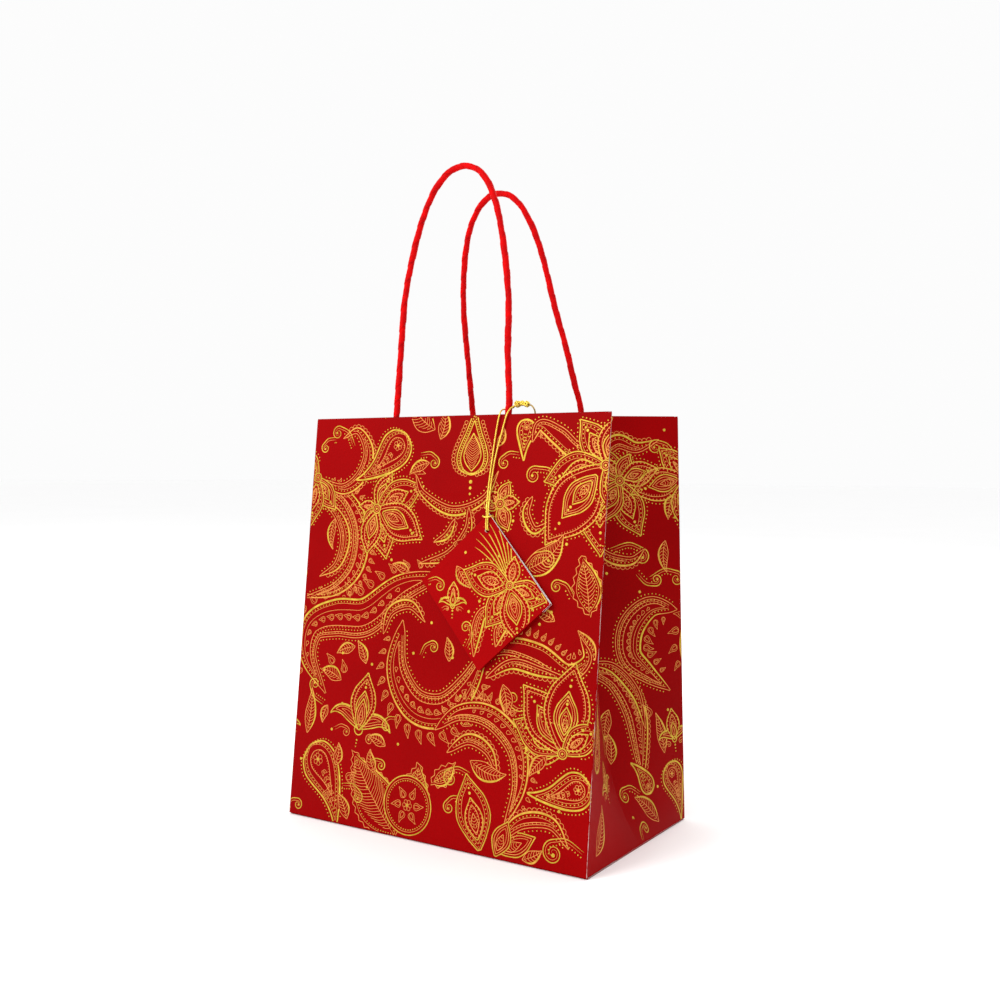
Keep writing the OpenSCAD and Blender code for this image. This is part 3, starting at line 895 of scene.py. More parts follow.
def leaf_place(cover, a, b, c):
    """Points of a tag leaf. a is down the fold, b across from it and c out from the leaf's
    side that faces the bag. Below b = 0 the leaf goes round the fold."""
    a, b, c = np.broadcast_arrays(*(np.asarray(v, float) for v in (a, b, c)))
    level = c + (CARD + LEAF_GAP if cover else 0.0)
    reach = (level - FOLD_CENTRE) * (1 if cover else -1)
    turn = np.clip(-b / FOLD_CENTRE, 0, math.pi / 2)
    flat_b = np.maximum(b, 0) - reach * np.sin(turn)
    height = FOLD_CENTRE + (1 if cover else -1) * reach * np.cos(turn)
    q = np.clip(b / TAG_ACROSS, 0, 1)
    held = smooth((np.hypot(a - HOLE_IN, b - HOLE_IN) - 2) / 24)
    bow = np.sin(math.pi * a / TAG_FOLD) * q
    if cover:
        height = height + TAG_RISE * q * (0.55 + 0.45 * held) + 0.16 * bow
    else:
        height = height + 0.12 * bow
    return place_on_tag(np.stack([a, flat_b, height], -1))


def leaf_outline():
    """The flat shape of a leaf, the edge of its hole and points inside it."""
    r = 0.7
    low = -math.pi / 2 * FOLD_CENTRE
    turns = np.radians(np.linspace(0, 90, 5))
    right = [(TAG_FOLD - r + r * math.sin(v), TAG_ACROSS - r + r * math.cos(v)) for v in turns]
    left = [(r - r * math.cos(v), TAG_ACROSS - r + r * math.sin(v)) for v in turns]
    across = list(np.arange(2.0, TAG_ACROSS - 2, 2.5))
    near = [low, low * 0.75, low * 0.5, low * 0.25, 0.0, 0.4]
    edge = [(0.0, b) for b in near + across] + left
    edge += [(a, TAG_ACROSS) for a in np.arange(3, 48, 2.5)]
    edge += right + [(TAG_FOLD, b) for b in across[::-1] + near[::-1]]
    edge += [(a, low) for a in np.arange(49, 1.5, -2.5)]
    ring = np.radians(np.arange(0, 360, 12))
    hole = [(HOLE_IN + HOLE_R * math.cos(v), HOLE_IN + HOLE_R * math.sin(v)) for v in ring]
    inside = [(a, b) for a in np.arange(1.5, 50, 2.5) for b in near[1:] + across + [SHADE_STRIP_FROM]]
    inside = [p for p in inside if math.dist(p, (HOLE_IN, HOLE_IN)) > HOLE_R + 0.5]
    return edge, hole, inside


def make_leaf(name, cover):
    """A leaf of the tag with its hole, red outside and white inside. The inside near its lower edge
    and the cut edge away from its top corner are red as painted shade.
    """
    edge, hole, inside = leaf_outline()
    points = edge + hole + inside
    loops = [list(range(len(edge))), list(range(len(edge), len(edge) + len(hole)))]
    lines = [(a, b) for loop in loops for a, b in zip(loop, loop[1:] + loop[:1])]
    made = delaunay_2d_cdt([Vector(p) for p in points], lines, [], 1, 1e-6)
    flat = np.array([tuple(p) for p in made[0]])
    middle = (HOLE_IN, HOLE_IN)
    faces = [f for f in made[2] if math.dist(flat[list(f)].mean(0), middle) > HOLE_R * 0.97]
    n = len(flat)
    front = leaf_place(cover, flat[:, 0], flat[:, 1], CARD)
    behind = leaf_place(cover, flat[:, 0], flat[:, 1], 0.0)
    verts = [front, behind]
    solid = [tuple(f) for f in faces] + [tuple(v + n for v in f[::-1]) for f in faces]
    outer_kind, inner_kind = (0, 1) if cover else (1, 0)
    kinds = [outer_kind] * len(faces) + [inner_kind] * len(faces)
    side = slice(len(faces), None) if cover else slice(0, len(faces))
    # Painted shade: the inner faces near the lower edge take the red of the outside.
    low = [flat[list(f)][:, 1].mean() > SHADE_STRIP_FROM for f in faces]
    kinds[side] = [0 if in_shade_strip else 1 for in_shade_strip in low]
    used = dict.fromkeys((a, b) for f in faces for a, b in zip(f, f[1:] + f[:1]))
    border = [(a, b) for a, b in used if (b, a) not in used]
    base = 2 * n
    for a, b in border:
        verts.append(np.array([front[a], front[b], behind[b], behind[a]]))
        solid.append((base + 1, base, base + 3, base + 2))
        # Painted shade: the cut edge is white card only near the top corner and round the hole, and
        # elsewhere takes the red of the outside.
        kinds.append(2 if max(flat[a][0], flat[b][0]) < HOLE_IN + 2 else 0)
        base += 4
    return piece(name, np.vstack(verts), solid, [TAG_RED, WHITE, CARD_EDGE], kinds)


tag_back = make_leaf("tag_back_card", False)
tag_cover = make_leaf("tag_cover_card", True)
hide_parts("tag_back_leaf")
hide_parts("tag_front_leaf")
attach(tag_back, "tag")
COVER_BEND = (tuple(place_on_tag((0, 4, 0.4)) * MM), tuple(place_on_tag((0, 24, 0.4)) * MM))
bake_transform(tag_cover)


# ---------------------------------------------------------------- line art of the print
# Line widths, and the radius of the beads in a row
THIN, MID, BOLD, HEAVY = 0.22, 0.32, 0.54, 1.1
BEAD = 0.33
# Half-widths along a shape, as a share of its widest
PETAL = ((0, 0.1), (0.18, 0.6), (0.42, 1), (0.66, 0.86), (0.84, 0.42), (0.94, 0.15), (1, 0.01))
BULB = ((0, 0.02), (0.03, 0.45), (0.1, 0.82), (0.24, 1), (0.42, 0.84), (0.62, 0.5), (0.82, 0.22),
        (1, 0.02))
BAND = ((0, 0.02), (0.08, 0.4), (0.28, 0.85), (0.5, 1), (0.7, 0.8), (0.88, 0.4), (1, 0.03))
LEAF = ((0, 0.03), (0.2, 0.72), (0.42, 1), (0.68, 0.7), (0.88, 0.24), (1, 0.01))


def arc(radius, start, stop, centre=(0.0, 0.0), n=16):
    """Points on an arc, angles in degrees."""
    a = np.radians(np.linspace(start, stop, n))
    return np.stack([centre[0] + radius * np.cos(a), centre[1] + radius * np.sin(a)], 1)


def sideways(line):
    """Unit vectors to the left of a flat line at each of its points."""
    along = unit(np.gradient(line, axis=0))
    return np.stack([-along[:, 1], along[:, 0]], 1)


def within(points, polygon):
    """Which points lie inside a closed polygon."""
    x, y = points[:, 0][:, None], points[:, 1][:, None]
    x0, y0 = polygon[:, 0][None], polygon[:, 1][None]
    x1, y1 = np.roll(x0, -1, 1), np.roll(y0, -1, 1)
    crosses = (y0 > y) != (y1 > y)
    rise = np.where(np.abs(y1 - y0) < 1e-9, 1e-9, y1 - y0)
    return (crosses & (x < (x1 - x0) * (y - y0) / rise + x0)).sum(1) % 2 == 1


class Art:
    """Line art in drawing order: strokes with a width at each point, round dots, and
    covers, which hide what was drawn before them."""

    def __init__(self):
        self.items = []

    def line(self, points, width=THIN, taper=False):
        """A stroke, even or thin at its ends. No points draw nothing, here and below."""
        if points is None:
            return
        points = np.asarray(points, float)
        q = np.linspace(0, 1, len(points))
        swell = np.sin(np.pi * q) ** 0.7 * 0.85 + 0.15 if taper else np.ones(len(q))
        self.items.append(("stroke", points, width * swell))

    def dot(self, x, y, r):
        self.items.append(("dot", np.array([[x, y]], float), r))

    def row(self, line, gap, r=BEAD):
        """Dots an even gap apart on a line."""
        if line is not None and len(line) > 1:
            for x, y in spaced(line, gap):
                self.dot(x, y, r)

    def cover(self, outline):
        """An outline that hides what was drawn before it."""
        if outline is not None:
            self.items.append(("cover", outline, 0))

    def put(self, other, x=0.0, y=0.0, turn=0.0, mirrored=False):
        """Another piece of art, mirrored, turned and moved, drawn over this one."""
        a = math.radians(turn)
        m = np.array([[math.cos(a), -math.sin(a)], [math.sin(a), math.cos(a)]])
        if mirrored:
            m = m @ np.array([[-1, 0], [0, 1]])
        for kind, points, width in other.items:
            self.items.append((kind, points @ m.T + (x, y), width))

    def seen(self):
        """The strokes and dots that no later cover hides."""
        covers, lows, highs, strokes, dots = [], np.zeros((0, 2)), np.zeros((0, 2)), [], []
        for kind, points, width in self.items[::-1]:
            if kind == "cover":
                covers.append(points)
                lows = np.vstack([lows, points.min(0)])
                highs = np.vstack([highs, points.max(0)])
                continue
            if kind == "stroke":
                dense = spaced(points, 0.4)
                share = np.linspace(0, 1, len(dense))
                width = np.interp(share, np.linspace(0, 1, len(width)), width)
                points = dense
            meets = ((lows < points.max(0)) & (highs > points.min(0))).all(1)
            hidden = np.zeros(len(points), bool)
            for k in np.flatnonzero(meets):
                hidden |= within(points, covers[k])
            if kind == "dot" and not hidden[0]:
                dots.append((*points[0], width))
            if kind == "stroke":
                strokes += runs_of(points, width, ~hidden)
        return strokes[::-1], dots[::-1]


def runs_of(points, width, keep):
    """The parts of a stroke whose points are all kept."""
    if keep.all():
        return [(points, width)]
    edges = np.flatnonzero(np.diff(np.r_[0, keep.astype(int), 0]))
    return [(points[a:b], width[a:b]) for a, b in zip(edges[::2], edges[1::2]) if b - a > 1]


SHAPE_POINTS = 90


class Shape:
    """A curved tapering form round a middle line. half is its half-width where it is
    widest, and the table gives the rest as a share of that."""

    def __init__(self, spine, half, table):
        self.mid = resampled(spline(spine, 0.1), SHAPE_POINTS)
        self.q = np.linspace(0, 1, SHAPE_POINTS)
        profile = spline(table, 0.02)
        self.half = half * np.interp(self.q, profile[:, 0], np.maximum(profile[:, 1], 0))
        self.side = sideways(self.mid)

    def edge(self, way, inset=0.0, start=0.0, stop=1.0):
        """One long side, way 1 for the left, pulled in by an inset."""
        keep = (self.half > inset) & (self.q >= start) & (self.q <= stop)
        if keep.sum() < 4:
            return None
        return self.mid[keep] + way * self.side[keep] * (self.half[keep] - inset)[:, None]

    def rim(self, inset=0.0, start=0.0, stop=1.0):
        """Both sides as one closed line."""
        left, right = self.edge(1, inset, start, stop), self.edge(-1, inset, start, stop)
        return None if left is None else np.vstack([left, right[::-1], left[:1]])

    def heading(self, k):
        """The direction of the middle line at one of its points, in degrees from up."""
        step = self.mid[k + 1] - self.mid[k - 1]
        return math.degrees(math.atan2(step[1], step[0])) - 90

    def ribs(self, art, gap, start=0.12, stop=0.88, reach=0.85, slant=0.7, inset=0.0):
        """Short bent lines from the middle line out to both sides."""
        for q in np.arange(start, stop, gap / gone_along(self.mid)[-1]):
            k = int(q * (SHAPE_POINTS - 1))
            h = self.half[k] - inset
            if h < 0.6:
                continue
            along = unit(self.mid[k + 1] - self.mid[k])
            for way in (1, -1):
                reached = way * self.side[k] * h * reach + along * h * slant
                bent = self.mid[k] + reached * 0.55 - along * h * 0.12
                art.line(spline([self.mid[k], bent, self.mid[k] + reached], 0.5))


def straight(length, bend=0.0):
    """A middle line that starts upward and bends by an angle, more towards its end."""
    heading = np.pi / 2 + np.radians(bend) * np.linspace(0, 1, 12) ** 1.6
    step = length / 11 * np.stack([np.cos(heading), np.sin(heading)], 1)
    return np.cumsum(np.vstack([[0, 0], step[:-1]]), axis=0)


def scallops(art, line, size, out):
    """A row of small lobes on one side of a line."""
    if line is None:
        return
    points = spaced(line, size)
    for a, b in zip(points, points[1:]):
        across = (b - a) / 2
        base = math.degrees(math.atan2(across[1], across[0]))
        art.line(arc(np.linalg.norm(across), base + 180, base + 180 - 180 * out, (a + b) / 2, 7))


def combed(art, line, gap, length, out):
    """Short lines square to a line."""
    if line is None:
        return
    points = spaced(line, gap)
    for p, s in zip(points, sideways(points)):
        art.line([p, p + s * out * length])


def fringe(art, line, size, gap, out):
    """A row of leaning drops along a line, small at its ends."""
    if line is None:
        return
    points = spaced(line, gap)
    for k, (p, away) in enumerate(zip(points, sideways(points) * out)):
        swell = 0.55 + 0.45 * math.sin(math.pi * (k + 0.5) / len(points))
        turn = math.degrees(math.atan2(away[1], away[0])) - 90
        art.put(eye(size * swell, 0.27), *(p + away), turn - 25 * out)


def rosette(r):
    """A flower of six rings."""
    art = Art()
    for k in range(6):
        art.line(arc(r * 0.36, 0, 360, arc(r * 0.62, 60 * k, 60 * k, n=1)[0], 9))
    art.dot(0, 0, r * 0.24)
    return art


def eye(length, fat=0.3):
    """A small pointed drop with a drop inside it."""
    art = Art()
    if length < 1.9:
        art.dot(0, length / 2, 0.34)
        return art
    d = Shape(straight(length, 20), length * fat, BULB)
    for way in (1, -1):
        art.line(d.edge(way), THIN)
        if length > 3.5:
            art.line(d.edge(way, length * fat * 0.5), THIN)
    return art


def layered(art, d, style):
    """Fills a form with rims inside rims."""
    art.cover(d.rim(-0.3))
    art.line(d.rim(), BOLD)
    if style == 0:
        art.line(d.rim(1.2), THIN)
        art.row(d.rim(2.2), 2.1)
        art.line(d.rim(3.2), THIN)
    elif style == 1:
        scallops(art, d.rim(1.0, 0.06, 0.97), 2.0, 1)
        art.line(d.rim(2.2), MID)
        combed(art, d.rim(2.2, 0.3, 0.95), 1.5, 1.0, -1)
    else:
        art.line(d.rim(1.3), MID)
        art.line(d.rim(2.6), THIN)


def petal(length, fat, style, bend=0.0):
    """A pointed petal with a smaller one inside it, and a leaf inside that."""
    art = Art()
    half = length * fat
    d = Shape(straight(length, bend), half, PETAL)
    layered(art, d, style)
    if half > 5.5:
        inner = petal(length * 0.55, fat * 0.95, (style + 1) % 3, bend * 0.4)
        art.put(inner, *d.mid[12], d.heading(12))
        for k in (66, 72, 78):
            art.dot(*d.mid[k], 0.9 - (k - 60) * 0.03)
    elif half > 2.6:
        inner = Shape(d.mid[14:60:6], half * 0.42, LEAF)
        art.line(inner.rim(), MID)
        inner.ribs(art, 1.5, 0.25, 0.8, 0.7, 0.5)
    return art


def peacock(height):
    """An upright eye with a chain round it, rays inside it and dots below."""
    art = Art()
    d = Shape(straight(height), height * 0.27, BULB)
    art.cover(d.rim(-2.4))
    for way in (1, -1):
        for out in (1, -1):
            scallops(art, d.edge(way, -2.3, 0.0, 0.8), 2.0, out)
    art.line(d.rim(), BOLD)
    art.row(d.rim(1.2), 1.3, 0.36)
    art.line(d.rim(2.2), BOLD)
    heart = Shape(straight(height * 0.55), height * 0.15, LEAF)
    core = Art()
    core.line(heart.rim(), BOLD)
    heart.ribs(core, 1.2, 0.08, 0.9, 1.0, 0.9)
    art.put(core, 0, height * 0.06)
    for k in range(3):
        art.dot(0, -3.4 - 3.0 * k, 0.95 - 0.15 * k)
    return art


def boteh(length, fat, bend, dots=True):
    """A teardrop with a bending tail: bold rim, bead rows, a flower and a sprig inside."""
    art = Art()
    half = length * fat
    d = Shape(straight(length, bend), half, BULB)
    art.cover(d.rim(-1.0))
    art.line(d.rim(), HEAVY * 0.72)
    art.line(d.rim(1.5), THIN)
    art.row(d.rim(2.4, 0, 0.9), 2.1)
    art.line(d.rim(3.2), THIN)
    if half > 6:
        core = Shape(d.mid[8:62:6], half * 0.5, BULB)
        art.line(core.rim(), MID)
        combed(art, core.rim(0, 0.05, 0.8), 1.4, 0.8, -1)
    art.put(rosette(half * 0.28), *d.mid[17])
    for k in (30, 37, 44, 51, 58):
        for lean in (40, -40):
            art.put(eye(half * 0.24, 0.34), *d.mid[k], d.heading(k) + lean)
    art.line(d.edge(-1 if bend > 0 else 1, 0.1, 0.25, 0.98), HEAVY, taper=True)
    if dots:
        art.row(d.rim(-1.9, 0.0, 0.86), 1.9)
    return art


def band(points, half, side=1, drops=False):
    """A long swelling band along given points, dressed on one side with lobes or drops."""
    art = Art()
    d = Shape(points, half, BAND)
    art.cover(d.rim(-0.6))
    for way in (1, -1):
        art.line(d.edge(way), MID)
    art.line(d.edge(side, 0.2, 0.12, 0.96), 1.05, taper=True)
    art.row(d.edge(side, 1.7, 0.06, 0.97), 2.1)
    art.line(d.edge(side, 2.5, 0.06, 0.97), THIN)
    art.line(d.edge(-side, 1.3, 0.06, 0.97), THIN)
    combed(art, d.edge(-side, 1.3, 0.1, 0.9), 2.2, 1.0, side)
    art.line(d.edge(-side, 2.3, 0.06, 0.97), MID, taper=True)
    if half > 5:
        inner = Shape(d.mid[9:83:6], half * 0.42, BAND)
        art.line(inner.edge(side), THIN)
        art.line(inner.edge(-side), MID)
        combed(art, inner.edge(-side), 2.2, 1.0, -side)
        art.row(inner.edge(-side, -2.0, 0.08, 0.9), 2.0)
        for k in range(13, 80, 5):
            if inner.half[k] > 1.5:
                drop = eye(inner.half[k] * 1.25, 0.33)
                art.put(drop, *inner.mid[k], inner.heading(k) + 20 * side)
    if drops:
        fringe(art, d.edge(side, -0.9, 0.1, 0.86), half * 0.85, half * 0.8, side)
    else:
        scallops(art, d.edge(side, -0.5, 0.05, 0.93), 2.6, side)
    art.row(d.edge(-side, -1.5, 0.04, 0.96), 2.2)
    return art


def plume(points, half, side=1):
    """A band with drops."""
    return band(points, half, side, True)


def leaf(length, fat, bend, jag=False):
    """A ribbed leaf, whose edge may be jagged."""
    art = Art()
    d = Shape(straight(length, bend), length * fat, LEAF)
    art.cover(d.rim(-0.3))
    rim = d.rim()
    if jag:
        rim = spaced(rim, 2.2)
        rim = rim + sideways(rim) * np.where(np.arange(len(rim)) % 2, 1.1, -0.3)[:, None]
        art.line(d.rim(1.6), THIN)
        art.row(d.rim(2.6), 1.6, 0.3)
    art.line(rim, MID)
    art.line(d.mid[:84], MID, taper=True)
    d.ribs(art, 1.7, inset=2.0 if jag else 0.0)
    art.line(d.edge(-1, 0.2, 0.1, 0.95), 1.0, taper=True)
    return art


def lotus(lengths, turns, fat=0.29, styles=(0, 1, 2), heart=2.4):
    """Petals drawn one over another, and a small heart."""
    art = Art()
    for k, (length, turn) in enumerate(zip(lengths, turns)):
        bend = 12 if turn > 0 else -12
        art.put(petal(length, fat, styles[k % len(styles)], bend), turn=turn)
        rim = Shape(straight(length, bend), length * fat, PETAL).rim(-1.7, 0.3, 1.0)
        halo = Art()
        halo.row(rim, 2.1)
        art.put(halo, turn=turn)
    disc = arc(heart, 0, 360, n=24)
    art.cover(disc)
    art.line(disc, BOLD)
    art.line(arc(heart * 0.6, 0, 360, n=16), MID)
    art.dot(0, 0, heart * 0.25)
    return art


def fan(length, count, spread, bend):
    """Fine curved lines that spread from one point."""
    art = Art()
    for k in range(count):
        q = k / (count - 1) - 0.5
        ray = Art()
        ray.line(spline(straight(length * (1 - 0.6 * q * q), bend), 0.8), BOLD, taper=True)
        art.put(ray, turn=q * spread)
    return art


def curl(radius, turns, tail, width=BOLD):
    """A spiral that opens into a tail, with dots along it."""
    q = np.linspace(0, 1, 60)
    r = radius * (0.18 + 0.82 * q)
    a = np.radians(90 - 360 * turns * (1 - q))
    spiral = np.stack([r * np.cos(a), r * np.sin(a)], 1)
    end = spiral[-1]
    out = spline([end, end + (-tail * 0.5, 0), end + (-tail, -tail * 0.35)], 0.8)
    line = spaced(np.vstack([spiral, out[1:]]), 0.8)
    art = Art()
    art.line(line, width, taper=True)
    art.line(line + sideways(line) * 1.3, THIN, taper=True)
    art.dot(*spiral[0], radius * 0.16)
    art.row(line[30:] + sideways(line)[30:] * 2.8, 1.7, 0.32)
    return art


def tulip(size):
    """An upright petal between two that curl away, with dots below."""
    art = Art()
    for way in (1, -1):
        side = Art()
        d = Shape(straight(size * 0.9, way * 115), size * 0.13, LEAF)
        layered(side, d, 2)
        side.line(d.edge(-way, 0.2, 0.1, 0.9), HEAVY, taper=True)
        art.put(side, turn=way * 42)
        tip = curl(size * 0.11, 1.2, size * 0.3, MID)
        art.put(tip, way * size * 0.3, -size * 0.12, mirrored=way > 0)
    art.put(petal(size * 1.1, 0.27, 1))
    art.put(petal(size * 0.6, 0.22, 2))
    art.line(arc(size * 0.1, 0, 360, n=16), BOLD)
    for k in range(3):
        art.dot(0, -size * 0.2 - 1.7 * k, 0.55 - 0.1 * k)
    return art


def bubble(radius):
    """A round medallion with drops in a ring."""
    art = Art()
    art.cover(arc(radius, 0, 360, n=50))
    art.line(arc(radius, 0, 360, n=70), BOLD)
    art.line(arc(radius - 1.5, 0, 360, n=60), THIN)
    art.row(arc(radius - 2.5, 0, 355, n=60), 1.5, 0.32)
    for turn in range(0, 360, 60):
        place = arc(radius * 0.28, turn, turn, n=1)[0]
        art.put(eye(radius * 0.42), *place, turn - 90)
    art.put(rosette(radius * 0.2))
    return art


def loose(*dots):
    """Single dots."""
    art = Art()
    for x, y in dots:
        art.dot(x, y, 0.75)
    return art


# The print comes round again on the back panel and the left gusset
REPEAT = AROUND / 2


def front_layout():
    """The print on the front, in millimetres from the middle of the front and up from
    the base. Each row: art, x, height, turn, mirrored. A band or loose dots stand alone."""
    return [
        # upper left
        plume([(-86, 176), (-66, 170), (-54, 154), (-55, 134), (-68, 121), (-90, 115)], 5.2),
        band([(-82, 168), (-70, 160), (-64, 148), (-68, 134), (-80, 127)], 3.2),
        band([(-84, 179), (-68, 174), (-56, 181), (-52, 194), (-60, 205), (-70, 201)], 3.6, -1),
        (curl(4.0, 1.3, 14), -74, 204, -25, True),
        (curl(3.0, 1.3, 9), -82, 196, 40, True),
        (lotus((22, 32, 22, 26), (40, 100, 215, 170), 0.26), -86, 180),
        (leaf(17, 0.15, 60), -72, 158, 160),
        (boteh(40, 0.25, -42), -28, 203, 142),
        (lotus((12, 12, 21, 27, 32, 34, 24),
               (80, 130, -20, -158, -64, -112, 165), 0.27, (1, 0, 1)), -44, 164),
        (leaf(22, 0.26, -55), -10, 205, 62),
        (leaf(15, 0.24, 45), -6, 200, -20),
        (eye(9), -22, 186, -120),
        (leaf(14, 0.2, 50), -12, 188, 100),
        # top middle
        band([(-20, 182), (-14, 172), (4, 164), (22, 170), (30, 184)], 2.4, -1),
        (peacock(34), 14, 182),
        (curl(3.6, 1.2, 10), -9, 188, -30),
        (curl(3.6, 1.2, 10), 33, 188, 30, True),
        (leaf(10, 0.2, 50), 28, 196, -40),
        band([(14, 166), (14, 154), (4, 142), (-14, 137)], 2.8),
        band([(6, 160), (2, 152), (-6, 148)], 1.8),
        (boteh(20, 0.26, 20, False), 45, 209, 170),
        (eye(9), 56, 208, 150),
        (lotus((9, 9, 12, 11, 14), (100, 45, -20, -80, 200), 0.3, (2, 1)), 32, 168),
        (leaf(15, 0.22, 30), 28, 152, 190),
        # upper right
        band([(86, 192), (72, 194), (62, 201), (52, 206), (48, 198)], 4.6),
        (curl(4.6, 1.3, 18), 50, 182, -10, True),
        band([(50, 172), (47, 164), (52, 156), (60, 160)], 2.2, -1),
        (lotus((26, 24, 33, 42, 48, 27), (30, -10, 100, 176, 138, 205), 0.28, (0, 1, 0)), 88, 187),
        (leaf(30, 0.2, 60), 46, 136, -70),
        (curl(4.6, 1.3, 13), 60, 142, 15),
        (curl(3.4, 1.3, 10), 66, 130, -20, True),
        (leaf(28, 0.26, 12, True), 84, 118, 8),
        (leaf(16, 0.2, 20), 88, 98, 30),
        # middle
        plume([(2, 132), (-24, 124), (-46, 108), (-66, 106), (-82, 100), (-84, 84),
                (-70, 66)], 10.0, -1),
        (leaf(12, 0.2, 30), -20, 132, 60),
        plume([(-22, 108), (-24, 84), (-12, 67), (6, 66), (20, 80), (31, 103)], 8.6, -1),
        plume([(24, 92), (40, 100), (58, 98), (74, 91), (84, 98), (80, 108)], 5.0),
        band([(30, 84), (44, 92), (60, 90), (76, 88)], 2.6, -1),
        (curl(4.0, 1.2, 10), 46, 76, 160),
        (leaf(16, 0.22, -30), 40, 82, 200),
        (leaf(13, 0.22, 30), 54, 80, -160),
        (eye(8), 26, 74, 30),
        (eye(7), 32, 70, 10),
        # lower left
        (leaf(24, 0.15, 20), -81, 44, -10),
        (tulip(27), -46, 50, -8),
        (boteh(47, 0.25, -45), -78, 38, 222),
        (curl(3.2, 1.3, 8), -84, 6, 10),
        (leaf(14, 0.24, 30), -50, 4, 20),
        (leaf(50, 0.27, -18, True), -18, 0, 44),
        (leaf(34, 0.3, 20, True), -14, 6, -20),
        (bubble(14.5), -12, 17),
        (leaf(18, 0.24, 40, True), 2, 30, -60),
        (curl(4.4, 1.3, 12), 13, 34, 20, True),
        (curl(3.4, 1.3, 10), 13, 20, 40, True),
        # lower right
        plume([(2, 56), (16, 66), (34, 66), (49, 54), (52, 36), (45, 16)], 5.6),
        band([(10, 46), (22, 54), (34, 50), (40, 38)], 2.8),
        (leaf(22, 0.2, 60), 24, 44, -120),
        (lotus((20, 30, 37, 42, 24), (92, 62, 34, -2, -50), 0.28, (1, 0, 1)), 74, 54),
        (leaf(14, 0.22, 30), 66, 52, 130),
        (boteh(34, 0.25, -40), 89, 42, 118),
        (petal(22, 0.24, 2), 43, 4, -62),
        band([(42, 8), (54, 20), (70, 22), (80, 12)], 3.6),
        (petal(36, 0.27, 0), 32, 3, 16),
        (petal(18, 0.28, 2), 41, 2, -20),
        (curl(6.0, 1.5, 16), 72, 9, 10, True),
        (leaf(12, 0.24, 30), 56, 3, -70),
        (leaf(13, 0.22, 30), -44, 84, 20),
        (leaf(13, 0.22, 30), -52, 92, 100),
        (curl(3.4, 1.3, 9), -2, 96, 30),
        (leaf(12, 0.22, 30), 8, 90, 0),
        (curl(3.6, 1.3, 12), -78, 70, 120),
        (leaf(15, 0.24, 40), -60, 74, 60),
        (leaf(10, 0.24, 40), -68, 60, 150),
        (curl(3.0, 1.3, 8), -28, 54, 40, True),
        (leaf(12, 0.24, 40), -60, 30, -20),
        (leaf(12, 0.24, -40), -34, 30, 30),
        (curl(3.6, 1.3, 12), -44, 16, -30),
        (eye(8), -52, 24, -60),
        band([(-34, 100), (-30, 112), (-18, 116), (-8, 108)], 2.6),
        (leaf(11, 0.24, 40), 40, 124, 40),
        (eye(7), 50, 114, -20),
        (leaf(12, 0.22, 40), 66, 114, 60),
        (eye(7), -66, 82, 40),
        (eye(7), -58, 78, 10),
        (leaf(12, 0.24, 40), -28, 44, 60),
        (curl(3.0, 1.3, 8), -30, 34, 0),
        (eye(7), -66, 12, -30),
        (leaf(12, 0.22, 30), 6, 148, -100),
        (eye(7), 14, 130, -20),
        loose((-58, 62), (-72, 78), (-20, 46), (34, 118), (58, 112), (-40, 84), (-32, 138),
               (2, 152), (-20, 152), (40, 160), (70, 150), (-64, 48), (-84, 30), (-38, 22),
               (16, 74), (60, 70), (62, 44), (84, 66), (-4, 108), (-50, 134), (-22, 214),
               (-42, 212), (20, 118), (64, 118), (-60, 88), (-14, 92), (10, 92), (74, 28)),
    ]


def gusset_layout():
    """The print on the gusset to the right of the front, continued from it."""
    return [
        plume([(96, 158), (112, 150), (118, 134), (108, 120)], 5.5),
        (lotus((18, 22, 26, 22), (70, 20, -40, -100), 0.28), 108, 186),
        plume([(100, 92), (112, 100), (128, 96), (134, 82), (126, 68)], 7.5),
        (boteh(32, 0.26, 50), 104, 44, -20),
        (tulip(13), 128, 30, 10),
        (leaf(24, 0.2, 40), 100, 8, -50),
        (curl(5, 1.3, 14), 134, 122, 60, True),
        (boteh(28, 0.26, 60), 128, 206, 160),
        band([(146, 202), (156, 194), (166, 199), (176, 196), (188, 200)], 3.6),
        (leaf(18, 0.22, 50), 152, 205, -60),
        (curl(4, 1.3, 12), 186, 196, -20, True),
        (lotus((16, 20, 15, 22, 30, 24), (70, 30, -20, -70, 196, 150), 0.28, (1, 0, 2)), 166, 179),
        (leaf(17, 0.17, 50), 190, 148, 165),
        (curl(4.6, 1.3, 18), 176, 140, -20),
        (curl(3.4, 1.3, 12), 184, 128, 170, True),
        plume([(196, 112), (180, 114), (168, 104), (166, 90), (176, 80), (190, 70)], 7.5),
        (leaf(30, 0.22, 30, True), 148, 118, 10),
        band([(140, 84), (156, 78), (166, 62), (167, 42), (165, 24)], 7.0),
        band([(142, 88), (156, 84), (168, 70), (172, 52)], 3.0, -1),
        (leaf(16, 0.22, 40), 150, 64, 150),
        (curl(3.6, 1.3, 10), 146, 48, 20),
        (leaf(22, 0.15, 20), 184, 38, 5),
        (boteh(32, 0.25, -30), 186, 32, 205),
        (curl(4, 1.3, 12), 150, 22, 0, True),
        (leaf(20, 0.22, 40), 170, 6, 30),
        (leaf(14, 0.22, 40), 196, 172, 150),
        (curl(4.2, 1.3, 16), 196, 128, -10),
        band([(150, 148), (158, 140), (170, 138), (178, 144)], 2.6, -1),
        (tulip(15), 192, 44, 6),
        (leaf(15, 0.22, 40), 146, 38, -20),
        (eye(8), 176, 58, 30),
        (boteh(20, 0.26, 40, False), 170, 20, 20),
        (eye(7), 192, 14, -40),
        (curl(3.0, 1.3, 8), 156, 6, 30),
        loose((191, 205), (150, 168), (196, 160), (156, 132), (188, 60), (174, 122), (120, 60),
               (110, 76), (142, 150), (140, 104), (176, 22), (150, 12), (120, 112), (98, 132)),
    ]


